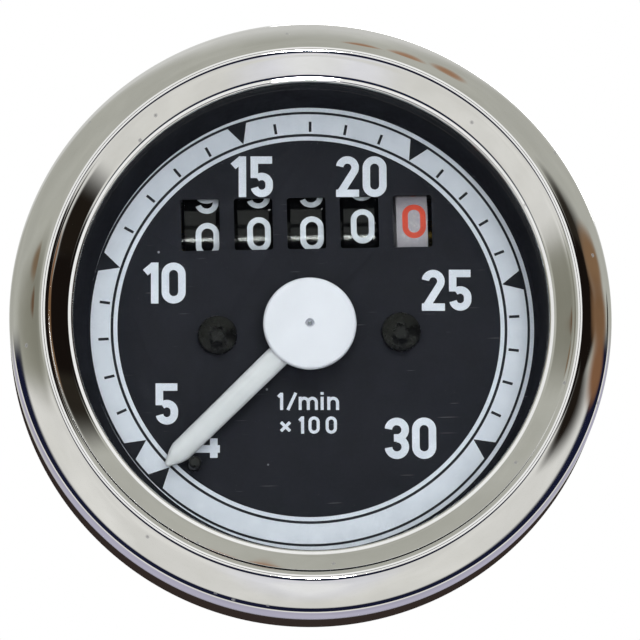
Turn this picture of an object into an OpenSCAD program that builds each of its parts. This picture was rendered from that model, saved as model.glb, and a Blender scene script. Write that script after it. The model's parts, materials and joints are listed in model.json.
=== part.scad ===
// Mechanical rev counter with an hour counter, of the kind set in a tractor's dashboard.
// +Y runs along the gauge's axis, away from the viewer. +Z is up and +X is to the viewer's right.
// The origin is on the axis, in the plane where the bezel seats on the panel.
// Dimensions are in millimetres. A point of a turned outline is [radius, distance along Y].

/* [Bezel] */
// Outer diameter of the chromed bezel
bezel_d = 86; // [84:1:120]
// How far the bezel laps over the panel, all round its hole
bezel_lap = 3.2; // [2.4:0.1:6]
// Thickness of the sheet that the bezel is spun from
bezel_sheet = 0.8; // [0.6:0.05:0.95]
// Height of the bezel's ridge in front of the panel
bezel_height = 17; // [16:0.5:22]
// Height at which the skirt turns into the shoulder
skirt_height = 13; // [11:0.1:13.4]
// How far the ridge lies inside the rim
ridge_inset = 4.8; // [4.2:0.1:5.2]
// Radius of the ridge's bead
ridge_round = 1.1; // [1.05:0.05:1.3]
// How far the lip round the glass lies inside the rim
lip_inset = 9.1; // [8.8:0.1:9.4]
// How far the lip lies behind the ridge
lip_sink = 2.4; // [2:0.1:2.8]

/* [Glass and dial] */
// Thickness of the glass
glass_t = 2; // [1.5:0.1:3]
// Thickness of the gasket between the lip and the glass
gasket_t = 0.6; // [0.4:0.1:1]
// Gap from the glass to the front of the dial
dial_depth = 7.8; // [7:0.1:10]
// Thickness of the dial's sheet
dial_t = 0.5; // [0.3:0.1:1]
// How far the dial's rim is hidden behind the shadow ring
dial_hidden = 3.2; // [2:0.1:4]
// Width of a counter window
window_w = 5.6; // [4:0.1:6]
// Height of a counter window
window_h = 7.6; // [6:0.1:9]
// Height of the windows' centres above the pointer's axis
window_z = 15.4; // [15.2:0.1:17]
// Distance from one window to the next
window_pitch = 7.65; // [7:0.05:9]
// Distance from the pointer's axis to each dial screw
dial_screw_x = 13.2; // [10:0.1:14]
// How far the dial screws lie below the pointer's axis
dial_screw_drop = 0.9; // [0:0.1:2]

/* [Pointer] */
// Length of the pointer from its axis to its tip
pointer_l = 29.4; // [24:0.1:30]
// Width of the pointer near its hub
pointer_w = 3.5; // [2:0.1:4]
// Width of the pointer where its tip starts
pointer_end_w = 3.2; // [1.6:0.1:3.6]
// Direction of the resting pointer, in degrees clockwise from the top
pointer_rest = 226.4; // [180:0.1:270]
// Diameter of the cap over the pointer's hub
cap_d = 13.4; // [10:0.1:16]
// Diameter of the pointer's spindle
spindle_d = 1.2; // [1:0.1:1.6]
// Distance of the stop pin from the pointer's axis
stop_r = 26; // [18:0.5:27]
// Diameter of the stop pin
stop_d = 1.8; // [1.2:0.1:2.4]

/* [Hour counter] */
// Radius of a number drum
drum_r = 10.25; // [9.7:0.05:10.6]
// Width of a drum's rim
drum_w = 4.5; // [3.8:0.1:4.8]
// Gap from the back of the dial to the drums
drum_gap = 1; // [0.6:0.1:2]
// Diameter of the drums' axle
drum_axle_d = 2.4; // [2:0.1:3]
// Module of the carry gears
carry_module = 0.8; // [0.7:0.05:0.8]
// Diameter of the carry pinions' axle
pinion_axle_d = 1.6; // [1.2:0.1:2]

/* [Worm drive] */
// Module of the three worm drives
worm_module = 0.4; // [0.36:0.01:0.42]
// Teeth of the wheel on the counter shaft
wheel_2_teeth = 50; // [44:1:50]
// Teeth of the wheel beside the tenths drum
wheel_3_teeth = 48; // [44:1:48]
// Pitch radius wanted of the worm on the drive shaft, met as nearly as its wheel's teeth allow
worm_1_aim = 2.8; // [2.6:0.1:3.2]
// Pitch radius of the two small worms
worm_2_r = 1.8; // [1.7:0.1:2]
// Width of the worm wheels
wheel_w = 1.2; // [0.8:0.1:1.6]
// Diameter of the cross shaft and of the counter shaft
shaft_d = 2; // [1.6:0.1:2.2]

/* [Magnet and drag cup] */
// Outer radius of the magnet
magnet_r = 8.6; // [7:0.1:9.5]
// Length of the magnet
magnet_l = 5.7; // [4:0.1:6]
// Radial gap on each side of the drag cup's wall
cup_gap = 0.6; // [0.4:0.1:1]
// Thickness of the drag cup's wall
cup_t = 0.5; // [0.3:0.1:0.8]

/* [Case and movement frame] */
// Depth of the case behind the panel seat
case_depth = 54; // [54:1:80]
// Radius of the case at its floor
case_back_r = 32.6; // [32.4:0.1:36]
// Length of the straight wall behind the flange, before the case tapers
case_straight = 6.5; // [4:0.5:12]
// Wall of the case
case_wall = 1; // [0.8:0.1:1.5]
// Thickness of the front plate
front_plate_t = 1.5; // [1:0.1:2]
// Thickness of the rear plate
rear_plate_t = 2; // [1.5:0.1:3]
// Radius of the front plate
front_plate_r = 34; // [33.5:0.1:36]
// Radius of the rear plate
rear_plate_r = 31; // [30.6:0.1:31.4]

/* [Drive connection] */
// Diameter of the drive shaft in its bearings
drive_d = 6; // [5:0.1:6.4]
// Major diameter of the neck's thread
neck_d = 18; // [16:1:22]
// Length of the neck behind the case
neck_l = 20; // [16:1:30]
// Diameter of the seat for the cable's ferrule
ferrule_d = 12; // [10:0.5:13]
// Width across the flats of the square socket in the drive shaft
square_w = 2.7; // [2.4:0.1:3]

/* [Mounting] */
// Distance from one mounting stud to the other
stud_spacing = 52; // [46:1:56]
// Diameter of the mounting studs
stud_d = 4; // [3:0.5:5]
// Length of the mounting studs behind the case
stud_l = 22; // [20:1:30]
// Room for the panel between the bezel and the bracket's feet
panel_room = 6; // [5:0.5:12]
// Width of the clamp bracket
bracket_w = 12; // [10:1:12]
// Thickness of the bracket's strip
bracket_t = 1.6; // [1.2:0.1:2]
// Distance of the lamps from the middle, sideways
lamp_x = 13; // [12:0.5:13]
// Distance of the lamps below the middle
lamp_drop = 19; // [18.5:0.5:19]

/* [Hidden] */
$fn = 72;

// Clearances
run_clear = 0.03;   // radial, of a shaft in its bearing
part_clear = 0.2;   // radial, of a piece in a wider seat
touch_clear = 0.1;  // between moving faces that almost meet

// Bezel and glass
rim_r = bezel_d / 2;
case_r = rim_r - bezel_lap;
ridge_r = rim_r - ridge_inset;
lip_r = rim_r - lip_inset;
skirt_round = 1;
shoulder_round = 1;
lip_front_y = lip_sink - bezel_height;
lip_back_y = lip_front_y + bezel_sheet;
cove_round = 2.6;
glass_r = lip_r + cove_round;
glass_front_y = lip_back_y + gasket_t;
glass_back_y = glass_front_y + glass_t;

// Case, with the flange that the bezel's rolled edge grips
flange_t = 0.8;
flange_back_y = -bezel_sheet;
flange_front_y = flange_back_y - flange_t;
flange_r = rim_r - bezel_sheet - part_clear;
case_in_r = case_r - case_wall;
case_corner = 2.5;
case_floor_y = case_depth - case_wall;

// Dial
dial_front_y = glass_back_y + dial_depth;
dial_back_y = dial_front_y + dial_t;
dial_r = case_r - 3.8;
dial_open_r = dial_r - dial_hidden;
window_corner = 0.4;
screw_r = 1.5;
screw_head_r = 2.8;
screw_head_h = 1.7;
recess_r = 1.4;
recess_h = 1.1;

// Movement plates
spacer_l = 2.5;
front_plate_y = dial_back_y + spacer_l;
front_plate_back_y = front_plate_y + front_plate_t;
rear_gap = 7;
rear_plate_y = case_floor_y - rear_gap - rear_plate_t;
rear_plate_back_y = rear_plate_y + rear_plate_t;
pillar_r = 2.2;
pillar_ring_r = rear_plate_r - 2.6;
pillar_angles = [90, 210, 330];
spacer_ring_r = rear_plate_r - 7;
spacer_angles = [30, 150, 270];

// Hour counter: the drums and their axle lie along X
drum_y = dial_back_y + drum_gap + drum_r;
drum_z = window_z;
drum_wall = 0.85;
drum_side = (window_pitch - drum_w) / 2;
carry_teeth = 20;
pinion_teeth = 8;
carry_w = drum_side - 0.22;
pinion_w = 2 * carry_w;
carry_distance = carry_module * (carry_teeth + pinion_teeth) / 2;
carry_angle = 40;
pinion_y = drum_y + carry_distance * cos(carry_angle);
pinion_z = drum_z + carry_distance * sin(carry_angle);
drum_stack = 2 * window_pitch + drum_w / 2;
cheek_t = 1.2;

// Worm drives, worked out from the drums down to the drive shaft
wheel_3_r = wheel_3_teeth * worm_module / 2;
wheel_2_r = wheel_2_teeth * worm_module / 2;
worm_y = rear_plate_y - 8;
counter_shaft_z = drum_z - wheel_3_r - worm_2_r;
cross_z = counter_shaft_z - wheel_2_r - worm_2_r;
wheel_1_teeth = round(2 * (-cross_z - worm_1_aim) / worm_module);
wheel_1_r = wheel_1_teeth * worm_module / 2;
worm_1_r = -cross_z - wheel_1_r;
wheel_3_x = drum_stack + worm_2_r + worm_module + 0.75;
worm_turns = 3;
shaft_r = shaft_d / 2;
cheek_left_x = -(drum_stack + 0.65 + cheek_t);
cheek_right_x = wheel_3_x + worm_2_r + 0.3;

// Magnet group, placed from the worm
field_back_y = worm_y - 6.2;
field_t = 1.2;
magnet_back_y = field_back_y - field_t;
magnet_front_y = magnet_back_y - magnet_l;
cup_in_r = magnet_r + cup_gap;
cup_r = cup_in_r + cup_t;
field_in_r = cup_r + cup_gap + 0.1;
field_r = field_in_r + 1.6;
cup_floor_y = magnet_front_y - 1.7;
nose_r = 2;
nose_y = magnet_front_y - 0.4;
spindle_r = spindle_d / 2;
spindle_end_y = nose_y + 3.2;

// Hairspring behind the front plate
collet_r = 1.5;
spring_y = front_plate_back_y + 0.9;
spring_h = 0.8;
spring_strip = 0.22;
spring_end_r = 4.4;
spring_angle = 250;
spring_stud_r = 0.5;
spring_stud_at = (spring_end_r + spring_strip / 2 + spring_stud_r) * [cos(spring_angle), sin(spring_angle)];

// Pointer
blade_t = 1.1;
blade_back_y = dial_front_y - screw_head_h - 0.3;
blade_front_y = blade_back_y - blade_t;
cap_r = cap_d / 2;
cap_t = 1.15;
pointer_turn = 90 - pointer_rest;
stop_side = pointer_w / 2 + stop_d / 2 + touch_clear / 2;
stop_angle = pointer_turn + asin(stop_side / stop_r);

// Drive shaft, its bearings and the neck
drive_r = drive_d / 2;
bearing_r = drive_r + 1.5;
neck_r = neck_d / 2;
neck_end_y = case_depth + neck_l;
neck_collar_r = neck_r + 3.5;
neck_collar_t = 3;
ferrule_depth = 8;
drive_end_y = neck_end_y - ferrule_depth - 0.5;
front_bearing_l = 7;
front_bearing_y = rear_plate_y - 1;
rear_bearing_l = 7;
rear_bearing_y = neck_end_y - ferrule_depth - rear_bearing_l - 1;
spigot_r = 8;

// Mounting hardware
stud_x = stud_spacing / 2;
stud_r = stud_d / 2;
stud_end_y = case_depth + stud_l;
strip_y = case_depth + neck_collar_t + 3;
leg_outer_x = sqrt(rim_r * rim_r - bracket_w * bracket_w / 4) - 0.5;
strip_half_l = leg_outer_x - 5.2;
washer_t = 1;
washer_r = 5;
nut_t = 6;
nut_r = 5.5;
lamp_r = 5.6;
lamp_z = -lamp_drop;
lamp_hole_r = lamp_r + 0.1;

// Helpers

// Points along an arc, from one angle to another
function arc(centre, r, from, to, steps) = [
  for (i = [0:steps])
    let (a = from + (to - from) * i / steps)
      [centre[0] + r * cos(a), centre[1] + r * sin(a)]
];

// The same points in the other order
function backwards(points) = [for (i = [len(points) - 1:-1:0]) points[i]];

// Outline of a straight-flanked gear with a tooth pointing along the first axis.
// full is the share of half the pitch that a tooth fills.
function gear_line(teeth, size, full) =
  let (
    r = teeth * size / 2,
    pitch = 360 / teeth,
    half = pitch / 4 * full,
    lean = atan(size * tan(20) / r),
    tip = half - lean,
    root = half + 1.2 * lean
  ) [
    for (i = [0:teeth - 1])
      for (corner = [[-root, -1.2], [-tip, 1], [tip, 1], [root, -1.2]])
        let (a = i * pitch + corner[0], rr = r + corner[1] * size)
          [rr * cos(a), rr * sin(a)]
  ];

// A shape turned about the gauge's axis: its first axis is the radius and its second is Y
module turned() {
  rotate([-90, 0, 0]) rotate_extrude() children();
}

// A flat shape seen from the front, with its front face at y
module facing(y, t) {
  translate([0, y + t, 0]) rotate([90, 0, 0]) linear_extrude(t) children();
}

// A flat shape in Y and Z, from x to x + t
module sideways(x, t) {
  translate([x, 0, 0]) rotate([90, 0, 90]) linear_extrude(t) children();
}

// A round bar along Y, from y to y + l
module bar_y(x, z, y, l, r) {
  translate([x, y, z]) rotate([-90, 0, 0]) cylinder(h = l, r = r);
}

// A round bar along X, from x to x + l
module bar_x(x, y, z, l, r) {
  translate([x, y, z]) rotate([0, 90, 0]) cylinder(h = l, r = r);
}

// A flat ring
module ring(outer, inner) {
  difference() {
    circle(outer);
    circle(inner);
  }
}

// Children at each of a list of angles on a circle, seen from the front
module around(r, angles) {
  for (a = angles) translate([r * cos(a), r * sin(a)]) children();
}

// A right-hand worm of one start along Z, centred, with its thread pointing at an angle at its middle.
// Its section square to the axis swells to the thread's tip and shrinks to its root once a turn.
module worm(pitch_r, facing_angle) {
  lead = PI * worm_module;
  half = 360 / 4 * 0.8;
  flank = 360 * worm_module * tan(20) / lead;
  section = [
    for (a = [-180:24:156])
      (pitch_r + worm_module * max(-1.2, min(1, (half - abs(a)) / flank))) * [cos(a), sin(a)]
  ];
  rotate(facing_angle - 180 * worm_turns)
    linear_extrude(
      height = worm_turns * lead, twist = -360 * worm_turns,
      slices = 14 * worm_turns, segments = len(section), center = true
    ) polygon(section);
}

// A pan-head screw along Y with a six-lobed recess; its head's seat is at y and its shank runs to y + l
module pan_screw(x, z, y, l) {
  edge = 0.6;
  translate([x, y, z]) difference() {
    turned() polygon(concat(
      [[0, l], [screw_r - 0.2, l], [screw_r, l - 0.3], [screw_r, 0], [screw_head_r, 0]],
      arc([screw_head_r - edge, edge - screw_head_h], edge, 0, -90, 4),
      [[0, -screw_head_h]]
    ));
    facing(-screw_head_h - 0.1, recess_h + 0.1) union() {
      circle(recess_r * 0.76, $fn = 24);
      around(recess_r * 0.74, [0:60:300]) circle(recess_r * 0.26, $fn = 16);
    }
  }
}

// Bezel, glass and the ring behind it

// One face of the bezel's sheet, from the hole in its rolled rear edge to its lip.
// depth is 0 on the outside and the sheet's thickness on the inside.
function bezel_face(depth) = concat(
  [[case_r + part_clear, -depth]],
  arc([rim_r - skirt_round, -skirt_round], skirt_round - depth, 90, 0, 4),
  arc([rim_r - shoulder_round, -skirt_height], shoulder_round - depth, 0, -60, 5),
  arc([ridge_r, ridge_round - bezel_height], ridge_round - depth, -50, -150, 8),
  arc([lip_r + 0.8, lip_front_y - cove_round], cove_round + depth, depth > 0 ? 26 : 17, 80, 7)
);

module bezel() {
  lip_round = bezel_sheet / 2;
  lip_centre = [lip_r + lip_round, lip_front_y + lip_round];
  color("#b9b8b0") turned() polygon(concat(
    bezel_face(0),
    arc(lip_centre, lip_round, -90, -270, 8),
    backwards(bezel_face(bezel_sheet))
  ));
}

module glass() {
  color("#dfe8ea", 0.25) facing(glass_front_y, glass_t) circle(glass_r);
}

module glass_gasket() {
  color("#1d1d1e") facing(lip_back_y, gasket_t) ring(glass_r, lip_r + bezel_sheet / 2);
}

// Moulded ring that presses the glass forward, hides the dial's rim and stands on the case's flange
module shadow_ring() {
  wall_in = glass_r + part_clear;
  wall_out = wall_in + 0.8;
  foot_r = flange_r - part_clear;
  foot_t = 0.8;
  color("#151516") turned() polygon([
    [dial_open_r + 2.1, glass_back_y],
    [wall_in, glass_back_y],
    [wall_in, glass_front_y + 0.3],
    [wall_out, glass_front_y + 0.3],
    [wall_out, flange_front_y - foot_t],
    [foot_r, flange_front_y - foot_t],
    [foot_r, flange_front_y],
    [dial_r + 0.3, flange_front_y],
    [dial_r + 0.3, dial_front_y],
    [dial_open_r, dial_front_y]
  ]);
}

module case() {
  color("#8f9294") difference() {
    turned() polygon(concat(
      [[0, case_depth]],
      arc([case_back_r - case_corner, case_depth - case_corner], case_corner, 90, 0, 5),
      [[case_r, case_straight], [case_r, flange_back_y], [flange_r, flange_back_y]],
      [[flange_r, flange_front_y], [case_in_r, flange_front_y], [case_in_r, case_straight]],
      arc([case_back_r - case_corner, case_depth - case_corner], case_corner - case_wall, 0, 90, 5),
      [[0, case_floor_y]]
    ));
    bar_y(0, 0, case_floor_y - 1, case_wall + 2, spigot_r + 0.05);
    for (side = [-1, 1]) {
      bar_y(side * lamp_x, lamp_z, case_floor_y - 1, case_wall + 2, lamp_hole_r);
      bar_y(side * stud_x, 0, case_floor_y - 1, case_wall + 2, stud_r);
    }
    for (a = spacer_angles)
      bar_y(spacer_ring_r * cos(a), spacer_ring_r * sin(a), case_floor_y - 1, case_wall + 2, screw_r + 0.1);
  }
}

// Dial

module window_shape() {
  hull_w = window_w - 2 * window_corner;
  hull_h = window_h - 2 * window_corner;
  square([window_w, hull_h], center = true);
  square([hull_w, window_h], center = true);
  for (sx = [-1, 1], sz = [-1, 1])
    translate([sx * hull_w / 2, sz * hull_h / 2]) circle(window_corner, $fn = 24);
}

module dial() {
  color("#2b2c31") facing(dial_front_y, dial_t) difference() {
    circle(dial_r, $fn = 120);
    circle(spindle_r + 1);
    for (i = [-2:2]) translate([i * window_pitch, window_z]) window_shape();
    for (side = [-1, 1]) translate([side * dial_screw_x, -dial_screw_drop]) circle(screw_r + 0.1);
    around(stop_r, [stop_angle]) circle(stop_d / 2 - 0.2);
  }
}

module dial_screws() {
  color("#17171a") for (side = [-1, 1])
    pan_screw(side * dial_screw_x, -dial_screw_drop, dial_front_y, dial_t + spacer_l + front_plate_t + 0.6);
}

module dial_spacers() {
  color("#a9a48f") for (side = [-1, 1])
    translate([side * dial_screw_x, 0, -dial_screw_drop])
      facing(dial_back_y, spacer_l) ring(screw_r + 1.1, screw_r + 0.1);
}

// Black pin riveted in the dial, where the resting pointer lies
module stop_pin() {
  pin_r = stop_d / 2;
  rise = dial_front_y - blade_front_y + 0.2;
  round_r = 0.4;
  color("#17171a")
    translate([stop_r * cos(stop_angle), dial_front_y, stop_r * sin(stop_angle)]) turned() polygon(concat(
      [[0, dial_t + 0.5], [pin_r, dial_t + 0.5], [pin_r, dial_t], [pin_r - 0.2, dial_t], [pin_r - 0.2, 0], [pin_r, 0]],
      arc([pin_r - round_r, round_r - rise], round_r, 0, -90, 4),
      [[0, -rise]]
    ));
}

// Pointer and what turns with it

module pointer() {
  tip_l = 2.9;
  tip_r = 0.6;
  tail_l = cap_r - 1.2;
  crown_r = (pointer_w * pointer_w / 4 + blade_t * blade_t) / (2 * blade_t) + 0.05;
  hub_r = 2.2;
  color("#dfe4ea") difference() {
    union() {
      rotate([0, -pointer_turn, 0]) intersection() {
        facing(blade_front_y - 1, blade_t + 1) polygon(concat(
          [[-tail_l, -pointer_w / 2], [0, -pointer_w / 2], [pointer_l - tip_l, -pointer_end_w / 2]],
          arc([pointer_l - tip_r, 0], tip_r, -90, 90, 8),
          [[pointer_l - tip_l, pointer_end_w / 2], [0, pointer_w / 2], [-tail_l, pointer_w / 2]]
        ));
        bar_x(-cap_r, blade_front_y + crown_r, 0, pointer_l + cap_r + 1, crown_r);
      }
      facing(blade_front_y + 0.3, blade_t + 0.6) circle(hub_r);
    }
    bar_y(0, 0, blade_front_y - 1, blade_t + 4, spindle_r);
  }
}

// Domed cap with a small dimple in its middle
module pointer_cap() {
  edge = 0.5;
  rim_h = 0.75;
  dimple_r = 0.65;
  dimple_h = 0.3;
  dome_h = cap_t - rim_h;
  dome_r = (cap_r * cap_r + dome_h * dome_h) / (2 * dome_h);
  dome_edge = asin((cap_r - edge) / dome_r);
  dome_start = asin(dimple_r / dome_r);
  back = blade_front_y;
  color("#e4e9ee") turned() polygon(concat(
    [[0, back], [cap_r, back]],
    arc([cap_r - edge, back - rim_h + edge - 0.06], edge, 0, -80, 5),
    arc([0, back - cap_t + dome_r], dome_r, -90 + dome_edge - 0.4, -90 + dome_start, 8),
    [[dimple_r * 0.6, back - cap_t + dimple_h * 0.8], [0, back - cap_t + dimple_h]]
  ));
}

module pointer_spindle() {
  color("#c9cbce") bar_y(0, 0, blade_front_y, spindle_end_y - blade_front_y, spindle_r);
}

module drag_cup() {
  hub_r = 1.8;
  hub_l = 1.2;
  wall_end = magnet_back_y - cup_gap;
  color("#c6c8c6") turned() polygon([
    [spindle_r, cup_floor_y - hub_l],
    [hub_r, cup_floor_y - hub_l],
    [hub_r, cup_floor_y],
    [cup_r - 0.6, cup_floor_y],
    [cup_r, cup_floor_y + 0.6],
    [cup_r, wall_end],
    [cup_in_r, wall_end],
    [cup_in_r, cup_floor_y + 0.6],
    [spindle_r, cup_floor_y + 0.6]
  ]);
}

// Flat spiral spring, drawn as one strip
module hairspring() {
  turns = 3.5;
  steps = 63;
  start_r = collet_r + spring_strip / 2 + 0.12;
  function spiral(side) = [
    for (i = [0:steps])
      let (
        a = spring_angle + 360 * turns * (i / steps - 1),
        r = start_r + (spring_end_r - start_r) * i / steps + side * spring_strip / 2
      ) [r * cos(a), r * sin(a)]
  ];
  color("#b98b4a") facing(spring_y, spring_h) polygon(concat(spiral(1), backwards(spiral(-1))));
}

module spring_collet() {
  color("#c2a35c") facing(spring_y - 0.3, spring_h + 0.6) ring(collet_r, spindle_r);
}

// Pin riveted in the front plate, to which the spring's outer end is fixed
module spring_stud() {
  color("#c2a35c") bar_y(
    spring_stud_at[0], spring_stud_at[1],
    front_plate_y, spring_y + spring_h + 0.3 - front_plate_y, spring_stud_r
  );
}

// Movement frame

drum_hole_h = 2 * sqrt(drum_r * drum_r - pow(drum_y - front_plate_back_y, 2)) + 1.2;

module front_plate() {
  left = cheek_left_x + cheek_t + 0.2;
  right = cheek_right_x - 0.2;
  color("#b9b59c") facing(front_plate_y, front_plate_t) difference() {
    circle(front_plate_r, $fn = 96);
    translate([left, drum_z - drum_hole_h / 2]) square([right - left, drum_hole_h]);
    circle(bush_r);
    for (side = [-1, 1]) translate([side * dial_screw_x, -dial_screw_drop]) circle(screw_r);
    translate([wheel_3_x, counter_shaft_z]) circle(shaft_r + run_clear);
    translate(spring_stud_at) circle(spring_stud_r);
    around(pillar_ring_r, pillar_angles) circle(screw_r + 0.1);
    for (p = foot_screws) translate(p) circle(cheek_screw_r);
  }
}

bush_r = 2.2;

module spindle_bush() {
  color("#c2a35c") facing(front_plate_y - 0.6, front_plate_t + 1.1) ring(bush_r, spindle_r + run_clear);
}

// The foot of a cheek lies flat on the front plate and points outwards
foot_w = 5;
foot_low_z = drum_z - 7;
foot_h = 11;
cheek_screw_r = 1;
foot_screws = [
  for (x = [cheek_left_x + (cheek_t - foot_w) / 2, cheek_right_x + (cheek_t + foot_w) / 2], side = [-1, 1])
    [x, foot_low_z + foot_h / 2 + side * 3.5]
];

module cheek(x, outward) {
  foot_x = outward > 0 ? x : x + cheek_t - foot_w;
  color("#b9b59c") difference() {
    union() {
      sideways(x, cheek_t) polygon([
        [front_plate_back_y, foot_low_z],
        [front_plate_back_y, drum_z + 7.2],
        [pinion_y - 3, pinion_z + 3.6],
        [pinion_y + 2.6, pinion_z + 3.2],
        [pinion_y + 3.4, pinion_z],
        [drum_y + 4, drum_z - 4],
        [drum_y + 1, foot_low_z]
      ]);
      translate([foot_x, front_plate_back_y, foot_low_z]) cube([foot_w, cheek_t, foot_h]);
    }
    bar_x(x - 1, drum_y, drum_z, cheek_t + 2, drum_axle_d / 2);
    bar_x(x - 1, pinion_y, pinion_z, cheek_t + 2, pinion_axle_d / 2);
    for (p = foot_screws) bar_y(p[0], p[1], front_plate_back_y - 1, cheek_t + 2, cheek_screw_r);
  }
}

module counter_cheek_left() {
  cheek(cheek_left_x, -1);
}

module counter_cheek_right() {
  cheek(cheek_right_x, 1);
}

// Four small screws that hold the cheeks' feet, with their heads behind the feet
module counter_screws() {
  color("#8f9092") for (p = foot_screws) {
    bar_y(p[0], p[1], front_plate_y, front_plate_t + cheek_t, cheek_screw_r);
    bar_y(p[0], p[1], front_plate_back_y + cheek_t, 1.2, cheek_screw_r + 0.7);
  }
}

// Drums, numbered from the left; the fifth counts the tenths

module drum_axle() {
  color("#c9cbce")
    bar_x(cheek_left_x - 0.6, drum_y, drum_z, cheek_right_x + cheek_t + 1.2 - cheek_left_x, drum_axle_d / 2);
}

// A drum has its rim, its web and hub, a full gear on the right and two carrying teeth on the left
module drum(number, tint) {
  middle = (number - 3) * window_pitch;
  web = 0.9;
  hub_r = drum_axle_d / 2 + 1.2;
  bore_r = drum_axle_d / 2 + run_clear;
  gear_root = carry_module * (carry_teeth / 2 - 1.2);
  color(tint) translate([middle, drum_y, drum_z]) difference() {
    union() {
      sideways(-drum_w / 2, drum_w) ring(drum_r, drum_r - drum_wall);
      sideways(-web / 2, web) circle(drum_r - drum_wall / 2);
      sideways(-drum_w / 2, drum_w) circle(hub_r);
      if (number < 5) {
        sideways(0, drum_w / 2 + 0.1) circle(gear_root - 0.4);
        sideways(drum_w / 2, carry_w)
          rotate(carry_angle) polygon(gear_line(carry_teeth, carry_module, 0.84));
      }
      if (number > 1) {
        sideways(-drum_w / 2 - carry_w, carry_w + 0.1) circle(gear_root - 0.1);
        sideways(-drum_w / 2, drum_w / 2) circle(gear_root - 0.4);
        sideways(-drum_w / 2 - carry_w, carry_w) intersection() {
          rotate(carry_angle + 45) polygon(gear_line(carry_teeth, carry_module, 0.84));
          polygon(concat([[0, 0]], arc([0, 0], drum_r * 1.1, carry_angle + 36, carry_angle + 72, 2)));
        }
      }
    }
    bar_x(-drum_w, 0, 0, 2 * drum_w, bore_r);
  }
}

module pinion_axle() {
  color("#c9cbce")
    bar_x(cheek_left_x - 0.4, pinion_y, pinion_z, cheek_right_x + cheek_t + 0.8 - cheek_left_x, pinion_axle_d / 2);
}

// A carry pinion sits between two drums
module carry_pinion(number) {
  middle = (number - 2.5) * window_pitch;
  turn = carry_angle + 180 + 180 / pinion_teeth;
  color("#d8d2c0") translate([0, pinion_y, pinion_z]) sideways(middle - pinion_w / 2, pinion_w) difference() {
    rotate(turn) polygon(gear_line(pinion_teeth, carry_module, 0.8));
    circle(pinion_axle_d / 2 + run_clear);
  }
}

// Drive train

module drive_shaft() {
  core_r = worm_1_r - 1.25 * worm_module;
  collar_y = front_bearing_y - touch_clear;
  color("#a7aaad") difference() {
    union() {
      turned() polygon([
        [spindle_r + run_clear + 0.01, nose_y],
        [nose_r, nose_y],
        [nose_r, field_back_y + 0.4],
        [core_r, field_back_y + 0.4],
        [core_r, collar_y - 1.5],
        [drive_r + 0.8, collar_y - 1.5],
        [drive_r + 0.8, collar_y],
        [drive_r, collar_y],
        [drive_r, drive_end_y - 0.4],
        [drive_r - 0.4, drive_end_y],
        [0, drive_end_y],
        [0, nose_y + 4],
        [spindle_r + run_clear + 0.01, nose_y + 4]
      ]);
      translate([0, worm_y, 0]) rotate([-90, 0, 0]) worm(worm_1_r, 90);
    }
    translate([-square_w / 2, drive_end_y - 12, -square_w / 2]) cube([square_w, 13, square_w]);
  }
}

module magnet() {
  color("#4b4d50") facing(magnet_front_y, magnet_l) ring(magnet_r, nose_r);
}

module field_cup() {
  color("#9a9c9e") turned() polygon([
    [nose_r, magnet_back_y],
    [field_in_r, magnet_back_y],
    [field_in_r, cup_floor_y + 0.8],
    [field_r, cup_floor_y + 0.8],
    [field_r, field_back_y],
    [nose_r, field_back_y]
  ]);
}

// A worm wheel's flat shape, with a gap between two teeth pointing at an angle
module wheel_shape(teeth, gap_angle) {
  difference() {
    rotate(gap_angle + 180 / teeth) polygon(gear_line(teeth, worm_module, 0.76));
    circle(shaft_r);
  }
}

module worm_wheel_1() {
  hub_l = 4;
  color("#c2a35c") translate([0, worm_y, cross_z]) {
    sideways(-wheel_w / 2, wheel_w) wheel_shape(wheel_1_teeth, 90);
    for (x = [-hub_l / 2, wheel_w / 2]) sideways(x, (hub_l - wheel_w) / 2) ring(shaft_r + 1, shaft_r);
  }
}

cross_left_x = -6.6;
cross_right_x = wheel_3_x + 6.3;
ear_t = 1.5;

module cross_shaft() {
  color("#a7aaad") {
    bar_x(cross_left_x - 0.6, worm_y, cross_z, cross_right_x - cross_left_x + 1.2, shaft_r);
    translate([wheel_3_x, worm_y, cross_z]) rotate([0, 90, 0]) worm(worm_2_r, 180);
  }
}

// U-shaped bracket on the rear plate, with an ear at each end of the cross shaft
module cross_shaft_bracket() {
  half_w = 2;
  front_y = worm_y - 2.6;
  color("#b9b59c") difference() {
    translate([cross_left_x, front_y, cross_z - half_w])
      cube([cross_right_x - cross_left_x, rear_plate_y - front_y, 2 * half_w]);
    translate([cross_left_x + ear_t, front_y - 1, cross_z - half_w - 1])
      cube([cross_right_x - cross_left_x - 2 * ear_t, rear_plate_y - front_y + 1 - ear_t, 2 * half_w + 2]);
    bar_x(cross_left_x - 1, worm_y, cross_z, cross_right_x - cross_left_x + 2, shaft_r + run_clear);
  }
}

module worm_wheel_2() {
  hub_l = 4;
  color("#c2a35c") translate([wheel_3_x, 0, counter_shaft_z]) {
    facing(worm_y - wheel_w / 2, wheel_w) wheel_shape(wheel_2_teeth, 270);
    for (y = [worm_y - hub_l / 2, worm_y + wheel_w / 2])
      facing(y, (hub_l - wheel_w) / 2) ring(shaft_r + 1, shaft_r);
  }
}

module counter_shaft() {
  color("#a7aaad") {
    bar_y(wheel_3_x, counter_shaft_z, front_plate_y, rear_plate_back_y + 0.4 - front_plate_y, shaft_r);
    translate([wheel_3_x, drum_y, counter_shaft_z]) rotate([-90, 0, 0]) worm(worm_2_r, 270);
  }
}

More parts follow.
